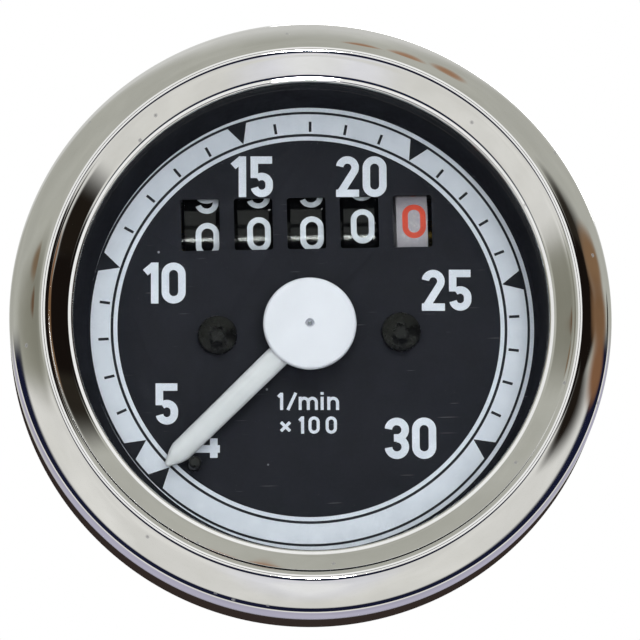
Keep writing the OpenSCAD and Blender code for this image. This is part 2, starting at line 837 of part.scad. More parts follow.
module worm_wheel_3() {
  hub_l = wheel_3_x - drum_stack - wheel_w / 2;
  color("#d8d2c0") translate([0, drum_y, drum_z]) {
    difference() {
      union() {
        sideways(wheel_3_x - wheel_w / 2, wheel_w)
          rotate(270 + 180 / wheel_3_teeth) polygon(gear_line(wheel_3_teeth, worm_module, 0.76));
        sideways(wheel_3_x - wheel_w / 2 - hub_l, hub_l + 0.1) circle(drum_axle_d / 2 + 1.2);
      }
      bar_x(drum_stack - 1, 0, 0, wheel_3_x, drum_axle_d / 2 + run_clear);
    }
  }
}

// Frame behind the counter

module frame_pillars() {
  depth = 6;
  l = rear_plate_y - front_plate_back_y;
  color("#a9a48f") for (a = pillar_angles) {
    x = pillar_ring_r * cos(a);
    z = pillar_ring_r * sin(a);
    difference() {
      bar_y(x, z, front_plate_back_y, l, pillar_r);
      bar_y(x, z, front_plate_back_y - 1, depth + 1, screw_r);
      bar_y(x, z, rear_plate_y - depth, depth + 1, screw_r);
    }
  }
}

module frame_screws() {
  head_h = 1.6;
  depth = 5;
  color("#8f9092") for (a = pillar_angles) {
    x = pillar_ring_r * cos(a);
    z = pillar_ring_r * sin(a);
    bar_y(x, z, front_plate_y - head_h, head_h, screw_r + 1.2);
    bar_y(x, z, front_plate_y, front_plate_t + depth, screw_r);
    bar_y(x, z, rear_plate_back_y, head_h, screw_r + 1.2);
    bar_y(x, z, rear_plate_back_y - rear_plate_t - depth, rear_plate_t + depth, screw_r);
  }
}

module rear_plate() {
  color("#b9b59c") facing(rear_plate_y, rear_plate_t) difference() {
    circle(rear_plate_r, $fn = 96);
    circle(bearing_r);
    translate([wheel_3_x, counter_shaft_z]) circle(shaft_r + run_clear);
    around(pillar_ring_r, pillar_angles) circle(screw_r + 0.1);
    around(spacer_ring_r, spacer_angles) circle(screw_r);
    for (side = [-1, 1]) translate([side * lamp_x, lamp_z]) circle(lamp_r + 0.8);
  }
}

module rear_spacers() {
  color("#a9a48f") for (a = spacer_angles)
    translate([spacer_ring_r * cos(a), 0, spacer_ring_r * sin(a)])
      facing(rear_plate_back_y, rear_gap) ring(screw_r + 1.4, screw_r + 0.1);
}

// Screws from behind, through the case's floor and the spacers into the rear plate
module case_screws() {
  l = case_depth - rear_plate_y + 0.6;
  color("#a9acae") for (a = spacer_angles)
    translate([spacer_ring_r * cos(a), 2 * case_depth, spacer_ring_r * sin(a)])
      mirror([0, 1, 0]) pan_screw(0, 0, case_depth, l);
}

module front_bearing() {
  color("#b98b4a") facing(front_bearing_y, front_bearing_l) ring(bearing_r, drive_r + run_clear);
}

module rear_bearing() {
  color("#b98b4a") facing(rear_bearing_y, rear_bearing_l) ring(bearing_r, drive_r + run_clear);
}

// Ring on the drive shaft that keeps it from sliding forward
module shaft_clip() {
  color("#55585b") facing(front_bearing_y + front_bearing_l + touch_clear, 0.8) ring(drive_r + 1, drive_r);
}

module drive_neck() {
  chamfer = 1;
  color("#a3a5a6") turned() polygon([
    [bearing_r, rear_plate_back_y],
    [spigot_r, rear_plate_back_y],
    [spigot_r, case_depth],
    [neck_collar_r - 0.6, case_depth],
    [neck_collar_r, case_depth + 0.6],
    [neck_collar_r, case_depth + neck_collar_t - 0.6],
    [neck_collar_r - 0.6, case_depth + neck_collar_t],
    [neck_r, case_depth + neck_collar_t],
    [neck_r, neck_end_y - chamfer],
    [neck_r - chamfer, neck_end_y],
    [ferrule_d / 2, neck_end_y],
    [ferrule_d / 2, neck_end_y - ferrule_depth],
    [bearing_r, neck_end_y - ferrule_depth]
  ]);
}

// Lamps

bulb_base_r = 4.5;
bulb_base_y = case_floor_y - 8;

module lamp_holders() {
  flange_h = 1.2;
  cap_l = 6;
  color("#232325") for (side = [-1, 1])
    translate([side * lamp_x, 0, lamp_z]) turned() polygon([
      [bulb_base_r, bulb_base_y + 1],
      [lamp_r, bulb_base_y + 1],
      [lamp_r, case_depth],
      [lamp_r + 1.6, case_depth],
      [lamp_r + 1.6, case_depth + flange_h],
      [lamp_r, case_depth + flange_h],
      [lamp_r, case_depth + cap_l - 0.8],
      [lamp_r - 0.8, case_depth + cap_l],
      [0, case_depth + cap_l],
      [0, case_floor_y],
      [bulb_base_r, case_floor_y]
    ]);
}

module lamp_bulbs() {
  glass_r = 4.2;
  glass_l = 8.5;
  color("#e8e4d0") for (side = [-1, 1])
    translate([side * lamp_x, 0, lamp_z]) turned() polygon(concat(
      [[0, case_floor_y], [bulb_base_r, case_floor_y], [bulb_base_r, bulb_base_y], [glass_r, bulb_base_y]],
      arc([0, bulb_base_y - glass_l + glass_r], glass_r, 0, -90, 8)
    ));
}

module lamp_terminals() {
  blade_w = 6.3;
  blade_thick = 0.8;
  blade_l = 8;
  y = case_depth + 6;
  color("#b99a4e") for (side = [-1, 1]) difference() {
    translate([side * lamp_x - blade_w / 2, y, lamp_z - blade_thick / 2]) cube([blade_w, blade_l, blade_thick]);
    translate([side * lamp_x, y + blade_l / 2 + 0.8, lamp_z - 1]) cylinder(h = 2, r = 0.8, $fn = 24);
  }
}

// Clamp

module mounting_studs() {
  head_r = 4;
  head_h = 1.6;
  color("#c4c6c8") for (side = [-1, 1])
    translate([side * stud_x, 0, 0]) turned() polygon([
      [0, case_floor_y - head_h],
      [head_r, case_floor_y - head_h],
      [head_r, case_floor_y],
      [stud_r, case_floor_y],
      [stud_r, stud_end_y - 0.6],
      [stud_r - 0.6, stud_end_y],
      [0, stud_end_y]
    ]);
}

// Bent strip whose splayed legs press on the back of the panel, widened round the neck
module clamp_bracket() {
  hole_r = neck_r + 1;
  color("#b4b6b0") {
    facing(strip_y, bracket_t) difference() {
      union() {
        square([2 * strip_half_l - 2, bracket_w], center = true);
        circle(hole_r + 5);
      }
      circle(hole_r);
      for (side = [-1, 1]) translate([side * stud_x, 0]) circle(stud_r + 0.3);
    }
    for (side = [-1, 1])
      translate([0, 0, -bracket_w / 2]) linear_extrude(bracket_w) polygon([
        [side * leg_outer_x, panel_room],
        [side * strip_half_l, strip_y + bracket_t],
        [side * (strip_half_l - 2), strip_y + bracket_t],
        [side * (strip_half_l - 2), strip_y],
        [side * (strip_half_l - bracket_t + 0.15), strip_y],
        [side * (leg_outer_x - bracket_t), panel_room]
      ]);
  }
}

module washers() {
  color("#c4c6c8") for (side = [-1, 1])
    translate([side * stud_x, 0, 0]) facing(strip_y + bracket_t, washer_t) ring(washer_r, stud_r + 0.2);
}

module knurled_nut(side) {
  y = strip_y + bracket_t + washer_t;
  bore = stud_r + 0.06;
  edge = 0.5;
  color("#c9b46a") translate([side * stud_x, 0, 0]) turned() polygon([
    [bore, y],
    [nut_r - edge, y],
    [nut_r, y + edge],
    [nut_r, y + nut_t - edge],
    [nut_r - edge, y + nut_t],
    [bore, y + nut_t]
  ]);
}

module knurled_nut_left() {
  knurled_nut(-1);
}

module knurled_nut_right() {
  knurled_nut(1);
}

bezel();
glass();
glass_gasket();
shadow_ring();
case();
dial();
dial_screws();
dial_spacers();
stop_pin();
pointer();
pointer_cap();
pointer_spindle();
drag_cup();
hairspring();
spring_collet();
spring_stud();
front_plate();
spindle_bush();
counter_cheek_left();
counter_cheek_right();
counter_screws();
drum_axle();
drum(1, "#26272a");  // drum_1
drum(2, "#26272a");  // drum_2
drum(3, "#26272a");  // drum_3
drum(4, "#26272a");  // drum_4
drum(5, "#c9c4cc");  // drum_5
pinion_axle();
carry_pinion(1);  // carry_pinion_1
carry_pinion(2);  // carry_pinion_2
carry_pinion(3);  // carry_pinion_3
carry_pinion(4);  // carry_pinion_4
drive_shaft();
magnet();
field_cup();
worm_wheel_1();
cross_shaft();
cross_shaft_bracket();
worm_wheel_2();
counter_shaft();
worm_wheel_3();
frame_pillars();
frame_screws();
rear_plate();
rear_spacers();
case_screws();
front_bearing();
rear_bearing();
shaft_clip();
drive_neck();
lamp_holders();
lamp_bulbs();
lamp_terminals();
mounting_studs();
clamp_bracket();
washers();
knurled_nut_left();
knurled_nut_right();
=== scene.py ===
"""Looks of a tractor tachometer with an hour counter, built round its CAD frame. Lengths in lists are millimetres."""

import json
from functools import partial
from math import asin, atan2, ceil, cos, degrees, dist, hypot, pi, radians, sin

import bpy
from mathutils import Matrix, Quaternion, Vector

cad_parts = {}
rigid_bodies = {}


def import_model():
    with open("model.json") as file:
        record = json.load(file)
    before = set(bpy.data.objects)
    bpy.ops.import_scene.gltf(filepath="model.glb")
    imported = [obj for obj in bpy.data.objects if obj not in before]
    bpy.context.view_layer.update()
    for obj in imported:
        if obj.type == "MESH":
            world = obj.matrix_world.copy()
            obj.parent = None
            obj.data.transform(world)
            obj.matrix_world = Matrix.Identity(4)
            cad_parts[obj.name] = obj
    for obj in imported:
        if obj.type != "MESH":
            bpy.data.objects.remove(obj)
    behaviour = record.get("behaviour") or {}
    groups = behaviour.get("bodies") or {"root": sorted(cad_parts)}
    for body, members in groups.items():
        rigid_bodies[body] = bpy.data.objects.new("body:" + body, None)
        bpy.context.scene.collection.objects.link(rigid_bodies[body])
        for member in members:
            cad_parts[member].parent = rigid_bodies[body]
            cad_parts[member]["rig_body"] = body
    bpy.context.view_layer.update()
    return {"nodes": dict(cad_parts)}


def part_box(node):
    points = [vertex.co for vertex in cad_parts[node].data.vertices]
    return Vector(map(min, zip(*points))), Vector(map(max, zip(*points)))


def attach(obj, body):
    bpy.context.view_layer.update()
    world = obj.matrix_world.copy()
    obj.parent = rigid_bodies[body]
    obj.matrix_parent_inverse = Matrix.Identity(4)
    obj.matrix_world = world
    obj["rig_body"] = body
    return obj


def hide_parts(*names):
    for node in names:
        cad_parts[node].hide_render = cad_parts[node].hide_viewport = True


bl_info = {
    "name": "Tractor tachometer",
    "version": (1, 0, 0),
    "blender": (4, 5, 0),
    "location": "3D View > Sidebar > Tachometer",
    "description": "Builds the looks of a tachometer with an hour counter round its CAD frame",
    "category": "Object",
}

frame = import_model()
NODES = frame["nodes"]
MM = 0.001


def sides(node):
    """The low and the high corner of a CAD node's box, in millimetres."""
    return [[place / MM for place in corner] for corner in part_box(node)]


# Places read from the frame, in millimetres
(_, BEZEL_FRONT, _), (RIM_R, _, _) = sides("bezel")
(_, GLASS_FRONT, _), (GLASS_R, GLASS_BACK, _) = sides("glass")
RING_R, RING_BACK, _ = sides("shadow_ring")[1]
DIAL_FRONT = sides("dial")[0][1]
SCREW_BACK = sides("dial_screws")[1][1]
POINTER_BACK = sides("pointer")[1][1]
(_, CAP_FRONT, _), (CAP_R, CAP_BACK, _) = sides("pointer_cap")
CASE_BACK = sides("case")[1][1]
(_, NECK_FRONT, _), (_, NECK_END, _) = sides("drive_neck")
(_, STUD_FRONT, _), (_, STUD_END, _) = sides("mounting_studs")
LEG_X, STRIP_BACK, _ = sides("clamp_bracket")[1]
(_, NUT_FRONT, _), (_, NUT_BACK, _) = sides("knurled_nut_right")
(_, DRUM_FRONT, DRUM_LOW), (_, _, DRUM_HIGH) = sides("drum_3")
DRUM_R, WINDOW_PITCH, STUD_X = 10.25, 7.65, 26.0
DRUM_Y, DRUM_Z = DRUM_FRONT + DRUM_R, (DRUM_LOW + DRUM_HIGH) / 2

# Vertices nearer than this many millimetres become one in copied and printed meshes
FINE_WELD = 0.0005
# Faces of a copy that lie flatter than the first angle are one face, and edges sharper than the second are rounded
FLAT_ANGLE, SHARP_ANGLE = radians(0.4), radians(40)
# Height of the print on the dial and of the stamped digits, and the step between strokes that cross, in millimetres
PRINT_THICK, DIGIT_THICK, CROSSING = 0.02, 0.05, 0.002

# The pointer rests at this angle clockwise from the top
POINTER_REST = 226.4

# The camera rolls a little, and the print is turned a little on the dial, in degrees
CAMERA_ROLL = -1.4
PRINT_TURN = 1.05

# Where each value from 4 to 30 stands on the scale, in degrees clockwise from the top
SCALE_MARKS = (
    224.7, 235.1, 245.6, 256.0, 266.8, 277.2, 288.0, 299.0, 309.8, 320.3, 330.8, 340.9, 350.8, 0.6,
    10.5, 20.6, 30.7, 40.0, 49.1, 58.6, 68.2, 77.1, 86.8, 96.3, 105.7, 115.2, 124.7,
)

# Each numeral's digits with their left edge and foot on the dial
NUMERALS = (
    ("4", -16.5, -18.9), ("5", -22.09, -14.06), ("1", -23.69, 3.61), ("0", -21.2, 3.61), ("1", -11.01, 19.25),
    ("5", -8.33, 19.25), ("2", 4.01, 19.28), ("0", 7.86, 19.28), ("2", 16.26, 2.55), ("5", 20.19, 2.57),
    ("3", 10.75, -19.08), ("0", 14.69, -19.06),
)


# Small helpers for nodes and meshes


def linear(colour):
    """A colour written as sRGB hex, such as "c8ccd0", as linear red, green, blue and alpha."""
    parts = [int(colour[i:i + 2], 16) / 255 for i in (0, 2, 4)]
    return tuple(p / 12.92 if p <= 0.04045 else ((p + 0.055) / 1.055) ** 2.4 for p in parts) + (1.0,)


def feed(node, inputs):
    """Sets a node's inputs, or links them to a socket or to the first output in use of another node."""
    for key, value in inputs.items():
        if isinstance(value, bpy.types.Node):
            value = next(output for output in value.outputs if output.enabled)
        if isinstance(value, bpy.types.NodeSocket):
            node.id_data.links.new(value, node.inputs[key])
        else:
            node.inputs[key].default_value = value


def put(tree, kind, inputs=None, **settings):
    """Adds a shader node with its settings and inputs."""
    node = tree.nodes.new("ShaderNode" + kind)
    for key, value in settings.items():
        setattr(node, key, value)
    feed(node, inputs or {})
    return node


def ranged(add, value, low, high, to_low=0.0, to_high=1.0, **settings):
    """A value whose stretch from low to high is drawn onto another stretch."""
    return add("MapRange", {"Value": value, "From Min": low, "From Max": high, "To Min": to_low, "To Max": to_high},
               **settings)


def mixed(add, share, first, second):
    """A colour on its way from the first to the second, which is written as hex."""
    return add("Mix", {0: share, 6: first, 7: linear(second)}, data_type="RGBA")


def scale_radius(vertex, factor):
    """Moves a vertex towards or away from the Y axis."""
    vertex.co.x *= factor
    vertex.co.z *= factor


def mode(name):
    bpy.ops.object.mode_set(mode=name)


def deselect():
    if bpy.context.object and bpy.context.object.mode != "OBJECT":
        mode("OBJECT")
    bpy.ops.object.select_all(action="DESELECT")


def activate(piece):
    deselect()
    piece.select_set(True)
    bpy.context.view_layer.objects.active = piece


def edit(action="SELECT"):
    """Edit mode of the active mesh, with everything selected or nothing."""
    mode("EDIT")
    bpy.ops.mesh.select_all(action=action)


def modify(piece, kind, **settings):
    """Applies a modifier to the active piece."""
    modifier = piece.modifiers.new(kind, kind)
    for key, value in settings.items():
        setattr(modifier, key, value)
    bpy.ops.object.modifier_apply(modifier=modifier.name)


def shift(piece, x=0.0, y=0.0, z=0.0):
    """Moves a mesh by millimetres."""
    piece.data.transform(Matrix.Translation((x * MM, y * MM, z * MM)))


def close_mesh(piece, merge_mm=0.001):
    """Merges a mesh's doubles and turns its faces outwards."""
    activate(piece)
    edit()
    bpy.ops.mesh.remove_doubles(threshold=merge_mm * MM)
    bpy.ops.mesh.delete_loose()
    bpy.ops.mesh.select_all(action="SELECT")
    bpy.ops.mesh.normals_make_consistent(inside=False)
    mode("OBJECT")


def outline(points):
    """A closed ring of edges through points of radius and y."""
    deselect()
    bpy.ops.mesh.primitive_circle_add(vertices=len(points), fill_type="NOTHING")
    piece = bpy.context.object
    for vertex, (radius, y) in zip(piece.data.vertices, points):
        vertex.co = Vector((radius, y, 0)) * MM
    return piece


def turned(profile, steps, x=0.0):
    """A solid turned about a line along Y, from a closed outline of radius and y."""
    piece = outline(profile)
    edit()
    bpy.ops.mesh.spin(steps=steps, angle=2 * pi, center=(0, 0, 0), axis=(0, 1, 0))
    close_mesh(piece)
    shift(piece, x)
    return piece


def arc(centre, radius, start, end, steps=8):
    """Points on an arc, with angles in degrees."""
    angles = [radians(start + (end - start) * i / steps) for i in range(steps + 1)]
    return [(centre[0] + radius * cos(a), centre[1] + radius * sin(a)) for a in angles]


def copied(node, bevel_mm=0.0):
    """A merged copy of a CAD node's mesh, with its flat faces whole and its sharp edges rounded."""
    piece = bpy.data.objects.new(node + "_copy", NODES[node].data.copy())
    bpy.context.scene.collection.objects.link(piece)
    activate(piece)
    edit()
    bpy.ops.mesh.remove_doubles(threshold=FINE_WELD * MM)
    bpy.ops.mesh.dissolve_limited(angle_limit=FLAT_ANGLE)
    mode("OBJECT")
    if bevel_mm:
        modify(piece, "BEVEL", width=bevel_mm * MM, segments=2, limit_method="ANGLE", angle_limit=SHARP_ANGLE)
    return piece


def finish(piece, node, suffix, kind, smooth=35, stands_in=True):
    """Names a piece after its CAD node, shades and colours it, and lets it ride and stand in for the node."""
    activate(piece)
    bpy.ops.object.transform_apply(location=True, rotation=True, scale=True)
    if smooth:
        bpy.ops.object.shade_smooth_by_angle(angle=radians(smooth))
    piece.name = f"{node}_{suffix}"
    piece.data.materials.clear()
    piece.data.materials.append(material(kind))
    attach(piece, NODES[node]["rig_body"])
    if stands_in:
        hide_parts(node)


def joined(pieces):
    """Several meshes as one object."""
    deselect()
    for piece in pieces:
        piece.select_set(True)
    bpy.context.view_layer.objects.active = pieces[0]
    if len(pieces) > 1:
        bpy.ops.object.join()
    return bpy.context.object


# Print: strokes laid flat in x and z, given as pairs of points on their two edges


def edges_of(path, width):
    """The two edges of a stroke along a path, mitred at its corners, and closed where the path's ends meet."""
    pairs = []
    count = len(path)
    closed = dist(path[0], path[-1]) < 1e-6
    for i, point in enumerate(path):
        here = Vector(point)
        before = path[i - 1] if i else path[-2] if closed else None
        after = path[i + 1] if i < count - 1 else path[1] if closed else None
        tangents = [(end - start).normalized() for start, end in (
            (before and Vector(before), here), (here, after and Vector(after))) if start and end]
        normals = [Vector((-t.y, t.x)) for t in tangents]
        middle = sum(normals, Vector((0, 0))).normalized()
        reach = width / 2 / max(0.35, middle.dot(normals[0]))
        pairs.append((here + middle * reach, here - middle * reach))
    return pairs


def fine(path, step):
    """A path with points no further apart than step, so that it can be rolled on a drum."""
    points = [path[0]]
    for start, end in zip(path, path[1:]):
        parts = max(1, ceil(dist(start, end) / step))
        points += [(start[0] + (end[0] - start[0]) * i / parts, start[1] + (end[1] - start[1]) * i / parts)
                   for i in range(1, parts + 1)]
    return points


def numeral(sign, w, h, s):
    """The paths of an engraved numeral of width w, height h and stroke s."""
    r, m = (w - s) / 2, w / 2
    low, high, mid = s / 2 + r, h - s / 2 - r, h * 0.51
    right, left = w - s / 2, s / 2
    if sign == "0":
        return [arc((m, low), r, -90, 0, 10) + arc((m, high), r, 0, 180, 20) + arc((m, low), r, 180, 270, 10)]
    if sign == "1":
        return [[(right, 0), (right, h)], [(left - s * 0.35, h * 0.755), (right - s * 0.1, h * 0.93)]]
    if sign == "2":
        return [arc((m, high), r, 172, -38, 20) + [(left + 0.06 * w, s * 0.72)], [(0, s / 2), (w, s / 2)]]
    if sign == "3":
        lean = degrees(asin(min(1, (high - mid) / r)))
        return [
            arc((m, high), r, 175, -lean, 20),
            [(m - 0.12 * w, mid), (m + 0.1 * w, mid)],
            arc((m, low), r, degrees(asin(min(1, (mid - low) / r))), -175, 20),
        ]
    if sign == "4":
        return [
            [(0, h * 0.215), (w, h * 0.215)],
            [(w * 0.76, 0), (w * 0.76, h * 0.47)],
            [(s * 0.45, h * 0.2), (w * 0.56, h)],
        ]
    if sign == "5":
        top = low + 0.06 * h
        return [
            [(w * 0.97, h - s / 2), (left, h - s / 2), (left, h * 0.47)],
            arc((m, top), r, 130, 0, 14) + arc((m, low), r, 0, -168, 16),
        ]
    if sign in "69":
        paths = [arc((m, low), r, -90, 270, 32), arc((m, high), r, 18, 180, 14) + [(left, low)]]
        return paths if sign == "6" else [[(w - x, h - z) for x, z in path] for path in paths]
    if sign == "7":
        return [[(0, h - s / 2), (w, h - s / 2)], [(right + 0.02 * w, h - s * 0.7), (w * 0.3, 0)]]
    top_r, bottom_r = (h - s) * 0.235, (h - s) * 0.265
    turns = [radians(11.25 * i) for i in range(33)]
    return [
        [(m + r * cos(a), s / 2 + bottom_r + bottom_r * sin(a)) for a in turns],
        [(m + 0.9 * r * cos(a), h - s / 2 - top_r + top_r * sin(a)) for a in turns],
    ]


def strip(pairs, level=0.0):
    """A flat strip between pairs of points in x and z, laid level millimetres in front of y = 0."""
    deselect()
    bpy.ops.mesh.primitive_grid_add(x_subdivisions=len(pairs) - 1, y_subdivisions=1, size=1)
    piece = bpy.context.object
    for vertex in piece.data.vertices:
        x, z = pairs[round((vertex.co.x + 0.5) * (len(pairs) - 1))][0 if vertex.co.y > 0 else 1]
        vertex.co = Vector((x, -level, z)) * MM
    return piece


def printed(strips, thick):
    """Strips joined and raised to thin solids of print."""
    piece = joined(strips)
    edit()
    bpy.ops.mesh.remove_doubles(threshold=FINE_WELD * MM)
    bpy.ops.mesh.extrude_region_move(TRANSFORM_OT_translate={"value": (0, thick * MM, 0)})
    close_mesh(piece, FINE_WELD)
    return piece


# Materials


# The plain materials: light and dark colour, size of the grain in millimetres, least and most roughness, metallic,
# depth of the bump in millimetres, stretch of the grain along x, y and z, and the shader's other settings
MATT_BLACK = ("26272f", "202128", 0.5, (0.5, 0.62), 0.0, 0.0004, (1, 1, 1), {"Specular IOR Level": 0.15})
PLAIN = {
    # Bright chromium on polished steel: mirrors the room, with a faint haze
    "chrome_plate": ("f4f4f3", "eaeae7", 6.0, (0.03, 0.07), 1.0, 0.0001, (1, 3, 1)),
    # Matt black enamel: grey-black and finely grained
    "matt_dial_enamel": MATT_BLACK,
    # The same black as the dial, printed over the pale band
    "black_print": MATT_BLACK,
    # Screen-printed silver-grey ink: slightly mottled
    "silver_grey_print": ("e1e5f2", "d1d6e4", 0.35, (0.42, 0.55), 0.0, 0.002),
    # Stoved white lacquer on the pressed pointer: even, half gloss
    "pointer_lacquer": ("dcdde3", "d2d4da", 1.6, (0.3, 0.4), 0.0, 0.002),
    # White lacquer on the turned cap: a little glossier, slightly clouded
    "cap_lacquer": ("e6e7f2", "dedfea", 2.2, (0.26, 0.36), 0.0, 0.003),
    # Moulded black plastic with a fine matt texture
    "black_plastic": ("2c2d33", "232429", 0.6, (0.38, 0.5), 0.0, 0.002, (1, 1, 1), {"Specular IOR Level": 0.0}),
    # Glossy black moulding of the number drums, which shows one bright line
    "glossy_black_plastic": ("0b0b0c", "070708", 0.5, (0.08, 0.11), 0.0, 0.0003, (1, 1, 1),
                             {"Specular IOR Level": 0.3}),
    # Pale grey moulding of the tenths drum, its grey darkened as painted shade for the shade it sits in
    "pale_grey_plastic": ("aba7b0", "9f9aa4", 0.5, (0.2, 0.3), 0.0, 0.002),
    # Hot-stamped white digits
    "digit_white": ("d9dee8", "ccd2de", 0.4, (0.16, 0.24), 0.0, 0.001),
    # Hot-stamped red digits of the tenths
    "digit_red": ("dc4a30", "cf3f27", 0.4, (0.35, 0.45), 0.0, 0.002),
    # Black lacquered screws and pin: dark, with soft highlights
    "black_lacquered_steel": ("101011", "0b0b0c", 0.5, (0.22, 0.32), 0.0, 0.001),
    # Bright zinc on drawn steel: cool grey with clouded patches
    "zinc_plate": ("c3c8cb", "a5aaad", 2.5, (0.3, 0.46), 1.0, 0.002),
    # Yellow-passivated zinc on the movement's plates: straw colour
    "yellow_passivated_zinc": ("cfc08e", "b7aa80", 3.0, (0.28, 0.4), 1.0, 0.001),
    # Turned brass: warm yellow with fine turning marks
    "turned_brass": ("d8b866", "c3a253", 1.2, (0.2, 0.32), 1.0, 0.002, (1, 6, 1)),
    # Sintered bronze: brown, porous and dull
    "sintered_bronze": ("a9794c", "8d6440", 0.3, (0.42, 0.58), 1.0, 0.01),
    # Rolled phosphor bronze strip: reddish and smooth
    "phosphor_bronze": ("c98f58", "b67d49", 0.8, (0.22, 0.32), 1.0, 0.001),
    # Ground steel shafts: bright, with fine rings round them
    "ground_steel": ("cfd2d5", "b4b8bc", 1.0, (0.18, 0.3), 1.0, 0.001, (1, 8, 1)),
    # Drawn aluminium cup: pale and soft
    "drawn_aluminium": ("dcdedf", "c8cbcd", 1.4, (0.3, 0.4), 1.0, 0.002),
    # Cast magnet alloy: dark grey and grainy
    "magnet_alloy": ("6a6b6e", "4c4d50", 0.5, (0.5, 0.68), 0.6, 0.02),
    # Die-cast zinc neck: dull grey with a faint grain
    "die_cast_zinc": ("b5b7b6", "95989a", 0.9, (0.36, 0.5), 1.0, 0.008),
    # Black rubber: dull
    "black_rubber": ("1f1f20", "171718", 0.4, (0.7, 0.85), 0.0, 0.01),
    # Cream acetal of the small pinions: waxy
    "cream_acetal": ("ddd7c6", "cec8b6", 0.8, (0.35, 0.45), 0.0, 0.002),
    # Blown bulb glass, frosted at its base
    "blown_glass": ("efece0", "e2decd", 1.0, (0.06, 0.14), 0.0, 0.001),
    # Matt white board
    "pale_board": ("f3f2f5", "eeedf0", 40.0, (0.8, 0.9)),
}


def material(name):
    """The material of that name, made where there is none yet."""
    return bpy.data.materials.get(name) or MAKERS.get(name, surface)(name)


def blank(name):
    """A new material without nodes, and what adds them."""
    made = bpy.data.materials.new(name)
    made.use_nodes = True
    made.node_tree.nodes.clear()
    return made, partial(put, made.node_tree)


def surface(name):
    """A plain material, whose colour and roughness vary in grains, with a bump."""
    light, dark, grain, rough, *rest = PLAIN[name]
    metallic, bump, stretch, constants = (*rest, *(0.0, 0.0, (1, 1, 1), {})[len(rest):])
    made, add = blank(name)
    place = add("TexCoord").outputs["Object"]
    scaled = add("Mapping", {"Vector": place, "Scale": stretch})
    noise = add("TexNoise", {"Vector": scaled, "Scale": 1000 / grain, "Detail": 4.0, "Roughness": 0.6})
    cloud = add("TexNoise", {"Vector": place, "Scale": 120 / grain, "Detail": 2.0})
    both = add("Math", {0: noise, 1: cloud}, operation="ADD")
    colour = mixed(add, ranged(add, both, 0.7, 1.3), linear(dark), light)
    roughness = ranged(add, both, 0.7, 1.3, *rough)
    inputs = {"Base Color": colour, "Roughness": roughness, "Metallic": metallic}
    if bump:
        inputs["Normal"] = add("Bump", {"Height": noise, "Strength": 1.0, "Distance": bump * MM})
    inputs.update(constants)
    shader = add("BsdfPrincipled", inputs)
    shader.name = "Surface"
    add("OutputMaterial", {"Surface": shader}).name = "Output"
    return made


def based(name):
    """A plain material to be changed further, what adds its nodes, its shader, its colour and place sockets."""
    made = surface(name)
    add = partial(put, made.node_tree)
    shader = made.node_tree.nodes["Surface"]
    return made, add, shader, shader.inputs["Base Color"].links[0].from_socket, add("TexCoord").outputs["Object"]


def flecks(add, place, scale, near, far, strength):
    """A mask of small round flecks in one out of ten cells."""
    cells = add("TexVoronoi", {"Vector": place, "Scale": scale})
    fleck = ranged(add, cells, near, far, strength, 0.0)
    pick = add("SeparateColor", {0: cells.outputs["Color"]})
    rare = add("Math", {0: pick, 1: 0.9}, operation="GREATER_THAN")
    return add("Math", {0: fleck, 1: rare}, operation="MULTIPLY")


def chrome_plate(name):
    # The chromium has small pits, and its rear edge is painted a dull dark brown: a painted reflection and shade of the
    # panel behind it
    made, add, shader, colour, place = based(name)
    depth = add("SeparateXYZ", {0: place}).outputs[1]
    # The skirt's rear band gets a painted dark-brown reflection and shade in place of chromium
    behind = ranged(add, depth, -0.0096, -0.0084)
    pits_and_painted_reflection = add("Math", {0: flecks(add, place, 420.0, 0.06, 0.16, 0.55), 1: behind}, operation="MAXIMUM")
    tinted = mixed(add, pits_and_painted_reflection, colour, "3a302b")
    bright = add("Math", {0: 1.0, 1: pits_and_painted_reflection}, operation="SUBTRACT")
    gloss = add("Math", {0: bright, 1: 0.5}, operation="MULTIPLY")
    feed(shader, {"Base Color": tinted, "Metallic": bright, "Specular IOR Level": gloss})
    return made


def window_glass(name):
    # Float glass: clear, and it lets the light through to the dial
    made, add = blank(name)
    place = add("TexCoord").outputs["Object"]
    smear = add("TexNoise", {"Vector": place, "Scale": 90.0, "Detail": 5.0})
    rough = ranged(add, smear, 0.4, 0.75, 0.0, 0.012)
    pane = add("BsdfPrincipled", {"Base Color": linear("fbfdfc"), "Roughness": rough, "IOR": 1.5,
                                  "Transmission Weight": 1.0})
    clear = add("BsdfTransparent", {"Color": linear("f7faf8")})
    # Light from the pieces behind the pane leaves it straight, and what the pane mirrors inside bends on its way out
    path = add("LightPath").outputs
    back = add("NewGeometry").outputs["Backfacing"]
    inside = add("Math", {0: back, 1: path["Transparent Depth"]}, operation="SUBTRACT", use_clamp=True)
    straight = add("Math", {0: path["Is Glossy Ray"], 1: path["Is Transmission Ray"]},
                   operation="SUBTRACT", use_clamp=True)
    straight = add("Math", {0: straight, 1: inside}, operation="SUBTRACT", use_clamp=True)
    leaving = add("Math", {0: path["Is Shadow Ray"], 1: straight}, operation="MAXIMUM")
    both = add("MixShader", {0: leaving, 1: pane, 2: clear})
    add("OutputMaterial", {"Surface": both})
    return made


def dial_paint(name):
    # The enamel bears pale specks of dust and a few worn scratches
    made, add, shader, colour, place = based(name)
    flat = add("Mapping", {"Vector": place, "Rotation": (0, 0.6, 0), "Scale": (40, 1, 900)})
    lines = add("TexNoise", {"Vector": flat, "Scale": 4.0, "Detail": 1.0})
    line = ranged(add, lines, 0.73, 0.80, 0.0, 0.35)
    marks = add("Math", {0: flecks(add, place, 330.0, 0.035, 0.075, 1.0), 1: line}, operation="MAXIMUM")
    strength = add("Math", {0: marks, 1: bpy.context.scene.tachometer.dust}, operation="MULTIPLY")
    feed(shader, {"Base Color": mixed(add, strength, colour, "b9bcc4")})
    return made


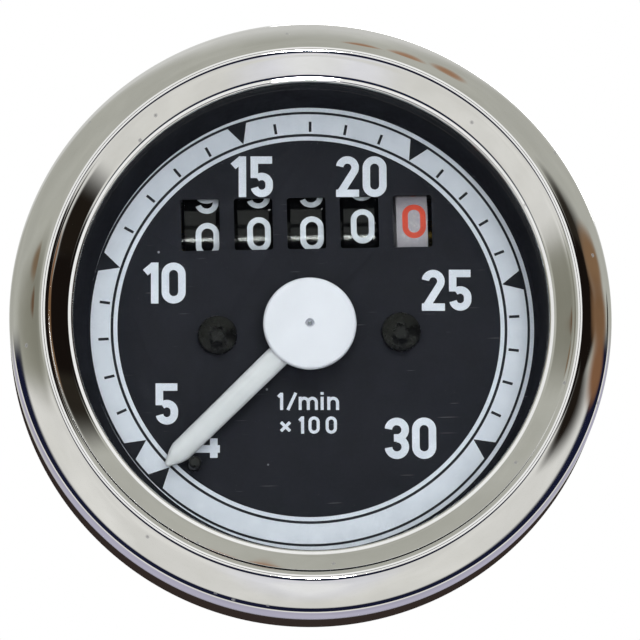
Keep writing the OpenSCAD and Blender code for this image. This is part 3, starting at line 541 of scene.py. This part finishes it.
def yellow_zinc(name):
    # The passivated zinc has a faint rose cast in patches
    made, add, shader, colour, place = based(name)
    cast = add("TexNoise", {"Vector": place, "Scale": 70.0, "Detail": 1.0})
    share = ranged(add, cast, 0.42, 0.62, 0.0, 0.5)
    feed(shader, {"Base Color": mixed(add, share, colour, "b9a7a0")})
    return made


def pale_floor(name):
    # The board lets mirrored rays through to the room below it
    made = surface(name)
    add, nodes = partial(put, made.node_tree), made.node_tree.nodes
    mirrored = add("LightPath").outputs["Is Glossy Ray"]
    both = add("MixShader", {0: mirrored, 1: nodes["Surface"], 2: add("BsdfTransparent")})
    feed(nodes["Output"], {"Surface": both})
    return made


MAKERS = {
    "chrome_plate": chrome_plate, "window_glass": window_glass, "matt_dial_enamel": dial_paint,
    "yellow_passivated_zinc": yellow_zinc, "pale_board": pale_floor,
}


# Sizes and other settings that a user may change


class TachometerSettings(bpy.types.PropertyGroup):
    numeral_height: bpy.props.FloatProperty(
        name="Numeral height", description="Height of the scale's numerals", default=0.006, unit="LENGTH", precision=5)
    numeral_stroke: bpy.props.FloatProperty(
        name="Numeral stroke", description="Width of the numerals' strokes", default=0.00108, unit="LENGTH",
        precision=5)
    dust: bpy.props.FloatProperty(
        name="Dust", description="How strongly specks and scratches show on the dial", default=0.75, min=0, max=1)
    ridges: bpy.props.IntProperty(
        name="Knurl ridges", description="Ridges round each knurled nut", default=44, min=12, max=80)
    neck_pitch: bpy.props.FloatProperty(
        name="Neck thread pitch", description="Pitch of the drive neck's thread", default=0.0015, unit="LENGTH",
        precision=5)
    stud_pitch: bpy.props.FloatProperty(
        name="Stud thread pitch", description="Pitch of the studs' threads", default=0.0007, unit="LENGTH", precision=5)
    floor_drop: bpy.props.FloatProperty(
        name="Floor drop", description="How far the floor lies below the pointer's axis", default=0.36, unit="LENGTH")


# Front: bezel, glass and surround


class TACHOMETER_OT_bezel(bpy.types.Operator):
    """Spun bezel with its skirt, shoulder, bead, cove and rolled lip"""

    bl_idname = "tachometer.bezel"
    bl_label = "Bezel"

    # The chromed face from the skirt in to the lip: each stretch's length, and the face's tilt at its two ends
    STRETCHES = (
        (2.251, 90, 47), (1.065, 47, 43), (2.218, 43, 38), (1.153, 38, 30), (0.628, 30, 0), (0.963, 0, -46),
        (0.6, -46, -37.47), (2.311, -37.47, -36.47), (0.796, -36.47, 0),
    )
    SHEET, SKIRT, CASE_GAP_R, LIP_SINK = 0.8, 11.956, 3.0, 2.4

    def execute(self, context):
        outside = [(RIM_R, -6.0), (RIM_R, -9.0)]
        inside = [(RIM_R - self.SHEET, -6.0), (RIM_R - self.SHEET, -9.0)]
        radius, y = RIM_R, -self.SKIRT
        for length, start, end in self.STRETCHES:
            steps = max(6, round(abs(end - start) / 2.5))
            for i in range(steps):
                tilt = radians(start + (end - start) * i / steps)
                outside.append((radius, y))
                inside.append((radius - self.SHEET * sin(tilt), y + self.SHEET * cos(tilt)))
                tilt = radians(start + (end - start) * (i + 0.5) / steps)
                radius -= length / steps * cos(tilt)
                y -= length / steps * sin(tilt)
        lip = arc((radius, BEZEL_FRONT + self.LIP_SINK + self.SHEET / 2), self.SHEET / 2, -90, -270, 12)

        def rear(depth):
            """The edge rolled round behind the case's flange."""
            return [(RIM_R - self.CASE_GAP_R, -depth)] + arc((RIM_R - 1, -1), 1 - depth, 90, 0, 6)

        piece = turned(rear(0) + outside + lip + (rear(self.SHEET) + inside)[::-1], 240)
        finish(piece, "bezel", "spun", "chrome_plate", 50)
        return {"FINISHED"}


class TACHOMETER_OT_glass(bpy.types.Operator):
    """Flat glass with ground edges, and the gasket in front of it"""

    bl_idname = "tachometer.glass"
    bl_label = "Glass"
    CHAMFER = 0.25

    def execute(self, context):
        flat, front, back = GLASS_R - self.CHAMFER, GLASS_FRONT + self.CHAMFER, GLASS_BACK - self.CHAMFER
        piece = turned([(0, GLASS_FRONT), (flat, GLASS_FRONT), (GLASS_R, front), (GLASS_R, back), (flat, GLASS_BACK),
                        (0, GLASS_BACK)], 128)
        finish(piece, "glass", "pane", "window_glass", 20)
        NODES["glass_gasket"].material_slots[0].material = material("black_rubber")
        return {"FINISHED"}


class TACHOMETER_OT_surround(bpy.types.Operator):
    """Black moulded ring between the glass and the dial"""

    bl_idname = "tachometer.surround"
    bl_label = "Surround"
    # The ring's foot is moulded a little off centre, so that it hides the scale's outer line on the left
    OPEN_R, OFF_CENTRE = 32.4, 0.6

    def execute(self, context):
        open_r, outer, back = self.OPEN_R, RING_R, RING_BACK
        piece = turned([
            (open_r + 2.1, GLASS_BACK), (GLASS_R + 0.2, GLASS_BACK), (GLASS_R + 0.2, GLASS_FRONT + 0.3),
            (GLASS_R + 1.0, GLASS_FRONT + 0.3), (GLASS_R + 1.0, back - 0.8), (outer, back - 0.8), (outer, back),
            (36.3, back), (36.3, DIAL_FRONT), (open_r + 0.15, DIAL_FRONT), (open_r, DIAL_FRONT - 0.15),
            (open_r + 0.02, DIAL_FRONT - 0.5),
        ], 160)
        for vertex in piece.data.vertices:
            if hypot(vertex.co.x, vertex.co.z) < (open_r + 0.5) * MM:
                vertex.co.x += self.OFF_CENTRE * MM
        finish(piece, "shadow_ring", "moulded", "black_plastic", 30)
        return {"FINISHED"}


# Dial, its print and its screws


class TACHOMETER_OT_dial(bpy.types.Operator):
    """Dial sheet with its printed scale, numerals and unit"""

    bl_idname = "tachometer.dial"
    bl_label = "Dial"
    # Outer and inner radius of the scale's two lines and of its band, between which they lie
    RINGS = ((32.4, 31.82), (31.45, 28.55), (28.15, 27.57))
    # Half widths and radii at the two ends of a black wedge and of a small mark
    WEDGE = ((1.45, 31.47), (0.02, 28.6))
    MARK = ((0.2, 30.35), (0.2, 28.85))
    WEDGE_VALUES = (4, 5, 10, 15, 20, 25, 30)
    WIDTHS = {"0": 3.46, "1": 2.04, "2": 3.32, "3": 3.5, "4": 3.6, "5": 3.22}
    # The unit's two lines: left edge, foot, height of tall and of low letters, stroke
    UNIT_LEFT, UNIT_FOOT, TALL, LOW, SMALL = -4.5, -11.98, 2.5, 1.92, 0.44

    def execute(self, context):
        settings = context.scene.tachometer
        finish(copied("dial", 0.06), "dial", "sheet", "matt_dial_enamel", 30)
        turns = [radians(2 * i) for i in range(181)]
        light = [strip([((outer * cos(a), outer * sin(a)), (inner * cos(a), inner * sin(a)))
                        for a in turns]) for outer, inner in self.RINGS]
        h, s = settings.numeral_height / MM, settings.numeral_stroke / MM
        for sign, left, foot in NUMERALS:
            light += self.written(numeral(sign, self.WIDTHS[sign], h, s), left, foot - 0.04, s, CROSSING)
        light += self.unit()
        marks = []
        for value, clock in enumerate(SCALE_MARKS, 4):
            turn = Matrix.Rotation(-radians(clock), 2)
            ends = self.WEDGE if value in self.WEDGE_VALUES else self.MARK
            marks.append(strip([tuple(turn @ Vector((side * half, r)) for side in (-1, 1)) for half, r in ends],
                               PRINT_THICK))
        turn = Matrix.Rotation(radians(PRINT_TURN), 4, "Y")
        for suffix, strips, kind in (("print", light, "silver_grey_print"), ("marks", marks, "black_print")):
            piece = printed(strips, PRINT_THICK)
            piece.data.transform(turn)
            shift(piece, y=DIAL_FRONT - PRINT_THICK)
            finish(piece, "dial", suffix, kind, 0, False)
        return {"FINISHED"}

    def written(self, paths, left, foot, stroke, lift):
        """Strips along paths set at a place on the dial, each a little above the one before."""
        return [strip(edges_of([(x + left, z + foot) for x, z in path], stroke), lift * level)
                for level, path in enumerate(paths)]

    def unit(self):
        """Turns a minute, and the hundreds mark below them."""
        tall, low, small = self.TALL, self.LOW, self.SMALL
        paths = [
            [(0.50, 0), (0.50, tall)], [(0.0, tall * 0.76), (0.45, tall * 0.93)], [(1.42, 0), (2.62, tall)],
            [(3.25, 0), (3.25, low)], [(6.5, 0), (6.5, low)], [(6.5, low + 0.3), (6.5, low + 0.68)],
            [(7.48, 0), (7.48, low)],
        ]
        for start, width in ((3.25, 1.2), (4.45, 1.2), (7.48, 1.3)):
            bend = arc((start + width / 2, low - small / 2 - width / 2), width / 2, 165, 0, 10)
            paths.append(bend + [(start + width, 0)])
        light = self.written([[(x * 0.97, z) for x, z in path] for path in paths], self.UNIT_LEFT, self.UNIT_FOOT,
                             small, CROSSING / 2)
        left, foot = self.UNIT_LEFT - 0.25, self.UNIT_FOOT - 3.45
        cross = [[(0.63, 0.38), (1.93, 1.66)], [(0.63, 1.66), (1.93, 0.38)]]
        light += self.written(cross, left, foot, small, CROSSING / 2)
        for sign, start, width in (("1", 3.2, 0.75), ("0", 4.57, 1.62), ("0", 7.04, 1.62)):
            light += self.written(numeral(sign, width, tall, small), left + start, foot, small, CROSSING)
        return light


class TACHOMETER_OT_screws(bpy.types.Operator):
    """Dial screws with six-lobed recesses, and the stop pin"""

    bl_idname = "tachometer.screws"
    bl_label = "Dial screws and stop pin"
    HEAD_R, HEAD_HIGH, CROWN, EDGE, SHANK_R = 2.8, 1.7, 0.75, 0.3, 1.48
    SCREW_X, SCREW_DROP = 13.2, 0.9
    RECESS_R, RECESS_DEPTH, LOBE = 1.1, 1.4, 0.16

    def execute(self, context):
        back, front, flat = SCREW_BACK, DIAL_FRONT - self.HEAD_HIGH, self.HEAD_R - self.EDGE
        profile = [(flat * i / 12, front + self.CROWN * (i / 12) ** 2) for i in range(13)]
        profile += arc((flat, front + self.CROWN + self.EDGE), self.EDGE, -60, 0, 4)
        profile += [(self.HEAD_R, DIAL_FRONT), (self.SHANK_R, DIAL_FRONT), (self.SHANK_R, back - 0.3), (1.2, back),
                    (0, back)]
        screws = []
        for side in (-1, 1):
            screw = turned(profile, 96)
            self.recess(screw, front)
            shift(screw, side * self.SCREW_X, 0, -self.SCREW_DROP)
            screws.append(screw)
        finish(joined(screws), "dial_screws", "black", "black_lacquered_steel")
        finish(copied("stop_pin"), "stop_pin", "black", "black_lacquered_steel", 40)
        return {"FINISHED"}

    def recess(self, screw, front):
        """Cuts the six-lobed recess into a head."""
        deselect()
        bpy.ops.mesh.primitive_cylinder_add(vertices=72, radius=self.RECESS_R * MM, depth=2 * self.RECESS_DEPTH * MM,
                                            location=(0, front * MM, 0), rotation=(pi / 2, 0, 0))
        cutter = bpy.context.object
        bpy.ops.object.transform_apply(location=True, rotation=True, scale=True)
        for vertex in cutter.data.vertices:
            scale_radius(vertex, 1 + self.LOBE * cos(6 * atan2(vertex.co.z, vertex.co.x)))
        activate(screw)
        modify(screw, "BOOLEAN", operation="DIFFERENCE", object=cutter)
        bpy.data.objects.remove(cutter)


class TACHOMETER_OT_pointer(bpy.types.Operator):
    """Crowned pointer and its domed cap"""

    bl_idname = "tachometer.pointer"
    bl_label = "Pointer"
    # Blade: length past the axis, half width at the hub and at the tip, length behind the axis, thickness
    LENGTH, WIDE, NARROW, TAIL, THICK = 29.0, 1.75, 1.6, 5.5, 1.1
    # Cap: height of its rim, rounding of its edge, radius of its hole, depth of the hole
    RIM, EDGE, HOLE_R, HOLE_DEPTH = 0.75, 0.45, 0.65, 0.9

    def execute(self, context):
        self.blade()
        rim, edge, dimple, floor = self.RIM, self.EDGE, self.HOLE_R, CAP_FRONT + self.HOLE_DEPTH
        rise = CAP_BACK - CAP_FRONT - rim
        dome = (CAP_R ** 2 + rise ** 2) / (2 * rise)
        reach = degrees(asin((CAP_R - edge) / dome))
        inner = degrees(asin(dimple / dome))
        profile = [(0, CAP_BACK), (CAP_R - 0.15, CAP_BACK), (CAP_R, CAP_BACK - 0.12)]
        profile += arc((CAP_R - edge, CAP_BACK - rim + edge - 0.06), edge, 0, -80, 8)
        profile += arc((0, CAP_FRONT + dome), dome, -90 + reach - 0.4, -90 + inner, 20)
        profile += [(dimple - 0.08, CAP_FRONT + 0.15), (dimple - 0.1, floor), (0, floor)]
        # The spindle's end shows as a bright point at the bottom of the cap's hole
        rivet = turned([(0, floor), (0.3, floor), (0.3, CAP_FRONT + 0.35)]
                       + arc((0, CAP_FRONT + 0.55), 0.36, -35, -90, 6), 32)
        finish(rivet, "pointer_cap", "rivet", "ground_steel", 40, False)
        finish(turned(profile, 128), "pointer_cap", "domed", "cap_lacquer", 40)
        return {"FINISHED"}

    def blade(self):
        """A half-round blade: a tapered bar turned about its own length, flattened, and cut flat behind."""
        length, wide, narrow = self.LENGTH, self.WIDE, self.NARROW
        profile = [(0, -self.TAIL), (wide, -self.TAIL), (wide, 0), (narrow, length - 2.9), (narrow * 0.8, length - 1.9)]
        profile += [(0.62, length - 0.62)] + arc((0, length - 0.55), 0.55, 20, 90, 5)
        bar = turned(profile, 64)
        bar.data.transform(Matrix.Diagonal((1, 1, self.THICK / wide, 1)))
        edit()
        bpy.ops.mesh.bisect(plane_co=(0, 0, 0), plane_no=(0, 0, 1), use_fill=True, clear_inner=True)
        close_mesh(bar)
        # The bar's length goes from Y to the resting direction, and its crown faces forward
        rest, forward = radians(POINTER_REST), Vector((0, -1, 0))
        along = Vector((sin(rest), 0, cos(rest)))
        bar.data.transform(Matrix((along.cross(forward), along, forward)).transposed().to_4x4())
        hub = turned([(0.6, POINTER_BACK), (2.2, POINTER_BACK), (2.2, CAP_BACK + 0.31), (0.6, CAP_BACK + 0.31)], 48)
        shift(bar, y=CAP_BACK + self.THICK)
        finish(joined([bar, hub]), "pointer", "blade", "pointer_lacquer")


class TACHOMETER_OT_drums(bpy.types.Operator):
    """Number drums of the hour counter with their stamped digits"""

    bl_idname = "tachometer.drums"
    bl_label = "Number drums"
    # Height, width and stroke of a digit, and the width of a 1
    HEIGHT, WIDTH, STROKE, WIDTH_OF_1 = 5.05, 3.4, 0.82, 1.9
    # How far each drum has rolled past its nought, in degrees, and how far its digits sit aside of its middle
    REST = ((10.9, 1.0), (6.9, 0.8), (6.9, 0.8), (1.5, 0.5), (-1.9, 0.3))

    def execute(self, context):
        for number, (rolled, aside) in enumerate(self.REST, 1):
            node = f"drum_{number}"
            tenths = number == 5
            finish(copied(node), node, "moulded", "pale_grey_plastic" if tenths else "glossy_black_plastic")
            middle = (number - 3) * WINDOW_PITCH
            strips = []
            for digit in range(10):
                foot = -digit * radians(36) * DRUM_R - self.HEIGHT / 2
                width = self.WIDTH_OF_1 if digit == 1 else self.WIDTH
                for level, path in enumerate(numeral(str(digit), width, self.HEIGHT, self.STROKE)):
                    moved = [(x - width / 2 + aside, z + foot) for x, z in path]
                    strips.append(strip(edges_of(fine(moved, 0.45), self.STROKE), CROSSING * level))
            piece = printed(strips, DIGIT_THICK)
            start = radians(-rolled)
            for vertex in piece.data.vertices:
                x, y, z = vertex.co / MM
                angle = z / DRUM_R + start
                reach = DRUM_R + 0.02 - y
                place = (middle + x, DRUM_Y - reach * cos(angle), DRUM_Z + reach * sin(angle))
                vertex.co = Vector(place) * MM
            finish(piece, node, "digits", "digit_red" if tenths else "digit_white", 35, False)
        return {"FINISHED"}


# Case, movement and back


class TACHOMETER_OT_case(bpy.types.Operator):
    """Drawn case and its screws"""

    bl_idname = "tachometer.case"
    bl_label = "Case"

    def execute(self, context):
        finish(copied("case"), "case", "drawn", "zinc_plate", 40)
        finish(copied("case_screws"), "case_screws", "plated", "zinc_plate", 40)
        return {"FINISHED"}


class TACHOMETER_OT_movement(bpy.types.Operator):
    """Finishes of the pieces inside the case"""

    bl_idname = "tachometer.movement"
    bl_label = "Movement"
    FINISHES = {
        "yellow_passivated_zinc": ("dial_spacers", "rear_plate", "rear_spacers", "frame_pillars",
                                   "cross_shaft_bracket"),
        "ground_steel": ("pointer_spindle", "drum_axle", "pinion_axle", "drive_shaft", "cross_shaft", "counter_shaft",
                         "counter_screws", "frame_screws", "shaft_clip"),
        "black_lacquered_steel": ("front_plate", "counter_cheek_left", "counter_cheek_right"),
        "drawn_aluminium": ("drag_cup",),
        "magnet_alloy": ("magnet",),
        "zinc_plate": ("field_cup",),
        "phosphor_bronze": ("hairspring",),
        "turned_brass": ("spring_collet", "spring_stud", "spindle_bush", "worm_wheel_1", "worm_wheel_2",
                         "worm_wheel_3"),
        "sintered_bronze": ("front_bearing", "rear_bearing"),
        "cream_acetal": ("carry_pinion_1", "carry_pinion_2", "carry_pinion_3", "carry_pinion_4"),
        "blown_glass": ("lamp_bulbs",),
    }

    def execute(self, context):
        for kind, names in self.FINISHES.items():
            for name in names:
                NODES[name].material_slots[0].material = material(kind)
        return {"FINISHED"}


def thread_rib(major, pitch, start, length, depth, steps, chamfer, x=0.0):
    """The helical rib of a thread along Y, closed at both ends and cut by the tip's chamfer."""
    root = major - depth - 0.08
    piece = outline([(root, start - 0.46 * pitch), (major, start - 0.08 * pitch), (major, start + 0.08 * pitch),
                     (root, start + 0.46 * pitch)])
    modify(piece, "SCREW", axis="Y", angle=2 * pi, screw_offset=pitch * MM, iterations=int(length / pitch),
           steps=steps, render_steps=steps)
    end = start + length
    for vertex in piece.data.vertices:
        radius = hypot(vertex.co.x, vertex.co.z) / MM
        limit = min(radius, major - max(0.0, vertex.co.y / MM - (end - chamfer)))
        scale_radius(vertex, limit / radius)
    edit("DESELECT")
    bpy.ops.mesh.select_mode(type="EDGE")
    bpy.ops.mesh.select_non_manifold(extend=False, use_wire=True, use_boundary=True, use_multi_face=False,
                                     use_non_contiguous=False, use_verts=False)
    bpy.ops.mesh.edge_face_add()
    close_mesh(piece, 0.0002)
    shift(piece, x)
    return piece


class TACHOMETER_OT_neck(bpy.types.Operator):
    """Die-cast neck with the thread for the drive cable"""

    bl_idname = "tachometer.neck"
    bl_label = "Drive neck"
    THREAD_R, THREAD_DEPTH, COLLAR = 9.0, 0.92, 2.95

    def execute(self, context):
        pitch = context.scene.tachometer.neck_pitch / MM
        core = self.THREAD_R - self.THREAD_DEPTH
        collar = CASE_BACK + self.COLLAR
        profile = [
            (4.5, NECK_FRONT), (8.0, NECK_FRONT), (8.0, CASE_BACK), (12.2, CASE_BACK), (12.5, CASE_BACK + 0.3),
            (12.5, collar - 0.5), (12.0, collar), (core, collar), (core, NECK_END - 0.5), (core - 0.5, NECK_END),
            (6.3, NECK_END), (6.0, NECK_END - 0.3), (6.0, NECK_END - 8), (4.5, NECK_END - 8),
        ]
        body = turned(profile, 128)
        rib = thread_rib(self.THREAD_R, pitch, collar + pitch / 2, NECK_END - collar - pitch, self.THREAD_DEPTH,
                         64, 1.0)
        finish(joined([body, rib]), "drive_neck", "threaded", "die_cast_zinc", 40)
        return {"FINISHED"}


class TACHOMETER_OT_lamps(bpy.types.Operator):
    """Push-in lamp holders with ribbed caps, and their terminals"""

    bl_idname = "tachometer.lamps"
    bl_label = "Lamp holders"

    def execute(self, context):
        finish(copied("lamp_holders", 0.12), "lamp_holders", "moulded", "black_plastic", 40)
        finish(copied("lamp_terminals", 0.12), "lamp_terminals", "brass", "turned_brass")
        return {"FINISHED"}


class TACHOMETER_OT_clamp(bpy.types.Operator):
    """Threaded studs, bent clamp bracket, washers and knurled nuts"""

    bl_idname = "tachometer.clamp"
    bl_label = "Clamp"
    THREAD_R, THREAD_DEPTH, STUD_HEAD_R, BORE_R, NUT_R = 2.0, 0.42, 4.0, 2.06, 5.5
    # The bracket's bends: radius, and how far the edge lies from the leg's outer side and from the strip's back
    BENDS = ((2.6, 5.2, 0.0), (1.0, 6.65, 1.6))
    # How deep the knurl cuts at each of the four steps of a ridge
    KNURL = (0.0, 0.12, 0.34, 0.12)

    def execute(self, context):
        settings = context.scene.tachometer
        self.studs(settings.stud_pitch / MM)
        self.bracket()
        finish(copied("washers", 0.1), "washers", "plated", "zinc_plate", 40)
        self.nuts(4 * settings.ridges)
        return {"FINISHED"}

    def studs(self, pitch):
        head, wide, root = STUD_FRONT, self.STUD_HEAD_R, CASE_BACK + 1.3
        core = self.THREAD_R - self.THREAD_DEPTH
        parts = []
        for x in (-STUD_X, STUD_X):
            parts.append(turned([
                (0, head), (wide - 0.2, head), (wide, head + 0.2), (wide, head + 1.6), (1.99, head + 1.6),
                (1.99, CASE_BACK + 1), (core, root), (core, STUD_END - 0.4), (core - 0.4, STUD_END), (0, STUD_END),
            ], 64, x))
            parts.append(thread_rib(self.THREAD_R, pitch, root, STUD_END - root - 0.4, self.THREAD_DEPTH, 32, 0.6, x))
        finish(joined(parts), "mounting_studs", "threaded", "ground_steel", 40)

    def bracket(self):
        """The strip with its bends rounded."""
        piece = copied("clamp_bracket")
        for radius, from_side, from_back in self.BENDS:
            activate(piece)
            edit("DESELECT")
            mode("OBJECT")
            for edge in piece.data.edges:
                ends = [piece.data.vertices[i].co / MM for i in edge.vertices]
                edge.select = all(abs(abs(e.x) - LEG_X + from_side) < 0.01
                                  and abs(e.y - STRIP_BACK + from_back) < 0.01 for e in ends)
            mode("EDIT")
            bpy.ops.mesh.bevel(offset=radius * MM, segments=8, affect="EDGES")
        finish(piece, "clamp_bracket", "bent", "zinc_plate")

    def nuts(self, steps):
        """Nuts turned in so many steps, four for each ridge of the knurl."""
        bore, wide = self.BORE_R, self.NUT_R
        for x, name in ((-STUD_X, "knurled_nut_left"), (STUD_X, "knurled_nut_right")):
            nut = turned([
                (bore, NUT_FRONT + 0.25), (bore + 0.25, NUT_FRONT), (4.9, NUT_FRONT), (5.45, NUT_FRONT + 0.5),
                (wide, NUT_FRONT + 0.65), (wide, NUT_BACK - 1.4), (5.45, NUT_BACK - 1.25), (4.7, NUT_BACK - 1.0),
                (4.5, NUT_BACK - 0.2), (4.3, NUT_BACK), (bore + 0.25, NUT_BACK), (bore, NUT_BACK - 0.25),
            ], steps)
            for vertex in nut.data.vertices:
                radius = hypot(vertex.co.x, vertex.co.z) / MM
                if radius > wide - 0.1:
                    step = round(atan2(vertex.co.z, vertex.co.x) / (2 * pi) * steps) % 4
                    scale_radius(vertex, 1 - self.KNURL[step] / radius)
            shift(nut, x)
            finish(nut, name, "turned", "turned_brass", 25)


# Stage


class TACHOMETER_OT_stage(bpy.types.Operator):
    """Floor, soft lamps, pale room and the camera"""

    bl_idname = "tachometer.stage"
    bl_label = "Stage"
    # Each lamp's place, size and watts, and whether it is mirrored: the chrome mirrors the room instead
    LAMPS = {
        "key_lamp": ((0.25, -1.6, 1.5), 0.8, 10, False), "left_lamp": ((-0.6, -2.1, -0.2), 0.3, 5, False),
        "right_lamp": ((0.6, -2.1, -0.2), 0.3, 6.5, False), "back_lamp": ((0.6, 1.8, 1.3), 1.2, 14, True),
    }
    # The room that the chrome mirrors, in round patches from back to front: the direction of the middle, the angles
    # where the patch is still full and where it ends, and its colour
    WALLS = "b3b3a9"
    PATCHES = (
        ((0, 0, -1), 84, 92, "e4e3df"), ((0, -0.55, -0.83), 10, 24, "e6e6ec"), ((0, -0.44, -0.90), 1, 11, "f4f4f5"),
        ((0, -0.98, -0.2), 31, 35, "191c33"), ((0, 1, 0), 91, 95, "191c33"), ((0, 1, 0), 63, 67, "f0eee9"),
        ((0, 1, 0), 52, 58, "b4b1c4"), ((0, 0, 1), 80, 88, "b6b6ae"), ((0, 0.70, 0.71), 30, 46, "d9d9d6"),
        ((-0.93, -0.30, 0.18), 2, 22, "88877b"), ((0.92, -0.36, -0.16), 6, 17, "1f1a15"),
        ((0.88, -0.27, 0.42), 6, 17, "2a2620"), ((0.71, -0.68, 0.18), 16, 21, "17120f"),
        ((0.93, -0.33, 0.18), 12, 15, "17120f"), ((0.94, -0.03, 0.34), 3, 9, "86694e"),
        ((0.985, -0.03, 0.156), 3, 10, "7d5f45"), ((0.997, -0.03, -0.035), 3, 9, "815d43"),
        ((0.97, 0.24, 0.16), 3, 6, "2b241d"), ((-0.90, -0.20, 0.38), 0, 5, "7d6a55"),
        ((-0.93, -0.26, 0.24), 0, 4, "6b5340"), ((0.20, -0.06, 0.98), 0, 4, "a07c62"),
        ((0.33, -0.02, 0.94), 0, 4, "a07c62"), ((0.45, 0.02, 0.89), 0, 4, "a07c62"),
        ((0.03, -0.978, 0.208), 24, 29, "ffffff"), ((0.031, -0.982, 0.186), 2.6, 4.2, "15161a"),
    )
    # The small strong lamp that draws the bright line across the drums: direction, angles, and how much stronger
    SPOT, SPOT_FULL, SPOT_END, SPOT_GAIN = (0.035, -0.985, -0.166), 2.0, 2.8, 110.0
    # The camera stands where the photographer stood
    AIM, AZIMUTH, ELEVATION = (0, -0.005, 0), radians(-2.0), radians(-10.7)
    LENS, SHIFT = 391.5, (0.0167, 0.0105)

    def execute(self, context):
        scene = context.scene
        deselect()
        bpy.ops.mesh.primitive_plane_add(size=8, location=(0, 0, -scene.tachometer.floor_drop))
        floor = context.object
        floor.name = "floor"
        floor.data.materials.append(material("pale_board"))
        for name, (place, size, power, mirrored) in self.LAMPS.items():
            data = bpy.data.lights.new(name, "AREA")
            data.size = size
            data.energy = power
            lamp = bpy.data.objects.new(name, data)
            scene.collection.objects.link(lamp)
            lamp.location = place
            lamp.rotation_euler = (-Vector(place)).to_track_quat("-Z", "Y").to_euler()
            lamp.visible_glossy = mirrored
        self.room(scene)
        self.camera(scene)
        scene.view_settings.view_transform = "Standard"
        return {"FINISHED"}

    def room(self, scene):
        """A white room for the camera, even light for the paint, and a grey-green room for the chrome to mirror."""
        world = bpy.data.worlds.new("room")
        world.use_nodes = True
        tree = world.node_tree
        tree.nodes.clear()
        add = partial(put, tree)
        way = add("TexCoord").outputs["Generated"]

        def patch(toward, full, end, low=0.0, high=1.0, fading="SMOOTHSTEP"):
            """How far a direction lies inside a round patch."""
            dot = add("VectorMath", {0: way, 1: Vector(toward).normalized()}, operation="DOT_PRODUCT")
            return ranged(add, dot, cos(radians(end)), cos(radians(full)), low, high, interpolation_type=fading)

        shade = add("RGB")
        shade.outputs[0].default_value = linear(self.WALLS)
        for toward, full, end, colour in self.PATCHES:
            shade = mixed(add, patch(toward, full, end), shade, colour)
        # The walls' light is a little uneven
        uneven = add("TexNoise", {"Vector": way, "Scale": 2.6, "Detail": 3.0, "Distortion": 0.6})
        dull = ranged(add, uneven, 0.4, 0.64, 0.9)
        for gain in (dull, patch(self.SPOT, self.SPOT_FULL, self.SPOT_END, 1.0, self.SPOT_GAIN, "LINEAR")):
            shade = add("VectorMath", {0: shade, "Scale": gain}, operation="SCALE")
        path = add("LightPath").outputs
        for ray, colour in (("Is Diffuse Ray", "c4c7cc"), ("Is Camera Ray", "ffffff")):
            shade = mixed(add, path[ray], shade, colour)
        ground = add("Background", {"Color": shade, "Strength": 1.0})
        add("OutputWorld", {"Surface": ground})
        scene.world = world

    def camera(self, scene):
        data = bpy.data.cameras.new("camera")
        data.lens = self.LENS
        data.sensor_width = 36
        data.shift_x, data.shift_y = self.SHIFT
        data.clip_end = 100
        camera = bpy.data.objects.new("camera", data)
        scene.collection.objects.link(camera)
        across = cos(self.ELEVATION)
        toward = Vector((sin(self.AZIMUTH) * across, -cos(self.AZIMUTH) * across, sin(self.ELEVATION)))
        camera.location = Vector(self.AIM) + toward
        turn = (-toward).to_track_quat("-Z", "Y") @ Quaternion((0, 0, 1), radians(CAMERA_ROLL))
        camera.rotation_euler = turn.to_euler()
        scene.camera = camera


class TACHOMETER_PT_panel(bpy.types.Panel):
    bl_idname = "TACHOMETER_PT_panel"
    bl_label = "Tachometer"
    bl_space_type = "VIEW_3D"
    bl_region_type = "UI"
    bl_category = "Tachometer"

    def draw(self, context):
        for name in TachometerSettings.__annotations__:
            self.layout.prop(context.scene.tachometer, name)
        for step in STEPS:
            self.layout.operator(step.bl_idname)


STEPS = (
    TACHOMETER_OT_bezel, TACHOMETER_OT_glass, TACHOMETER_OT_surround, TACHOMETER_OT_dial, TACHOMETER_OT_screws,
    TACHOMETER_OT_pointer, TACHOMETER_OT_drums, TACHOMETER_OT_case, TACHOMETER_OT_movement, TACHOMETER_OT_neck,
    TACHOMETER_OT_lamps, TACHOMETER_OT_clamp, TACHOMETER_OT_stage,
)
CLASSES = (TachometerSettings, *STEPS, TACHOMETER_PT_panel)


def register():
    for item in CLASSES:
        bpy.utils.register_class(item)
    bpy.types.Scene.tachometer = bpy.props.PointerProperty(type=TachometerSettings)


def unregister():
    del bpy.types.Scene.tachometer
    for item in reversed(CLASSES):
        bpy.utils.unregister_class(item)


def main():
    register()
    bpy.ops.tachometer.bezel()
    bpy.ops.tachometer.glass()
    bpy.ops.tachometer.surround()
    bpy.ops.tachometer.dial()
    bpy.ops.tachometer.screws()
    bpy.ops.tachometer.pointer()
    bpy.ops.tachometer.drums()
    bpy.ops.tachometer.case()
    bpy.ops.tachometer.movement()
    bpy.ops.tachometer.neck()
    bpy.ops.tachometer.lamps()
    bpy.ops.tachometer.clamp()
    bpy.ops.tachometer.stage()


if __name__ == "__main__":
    main()
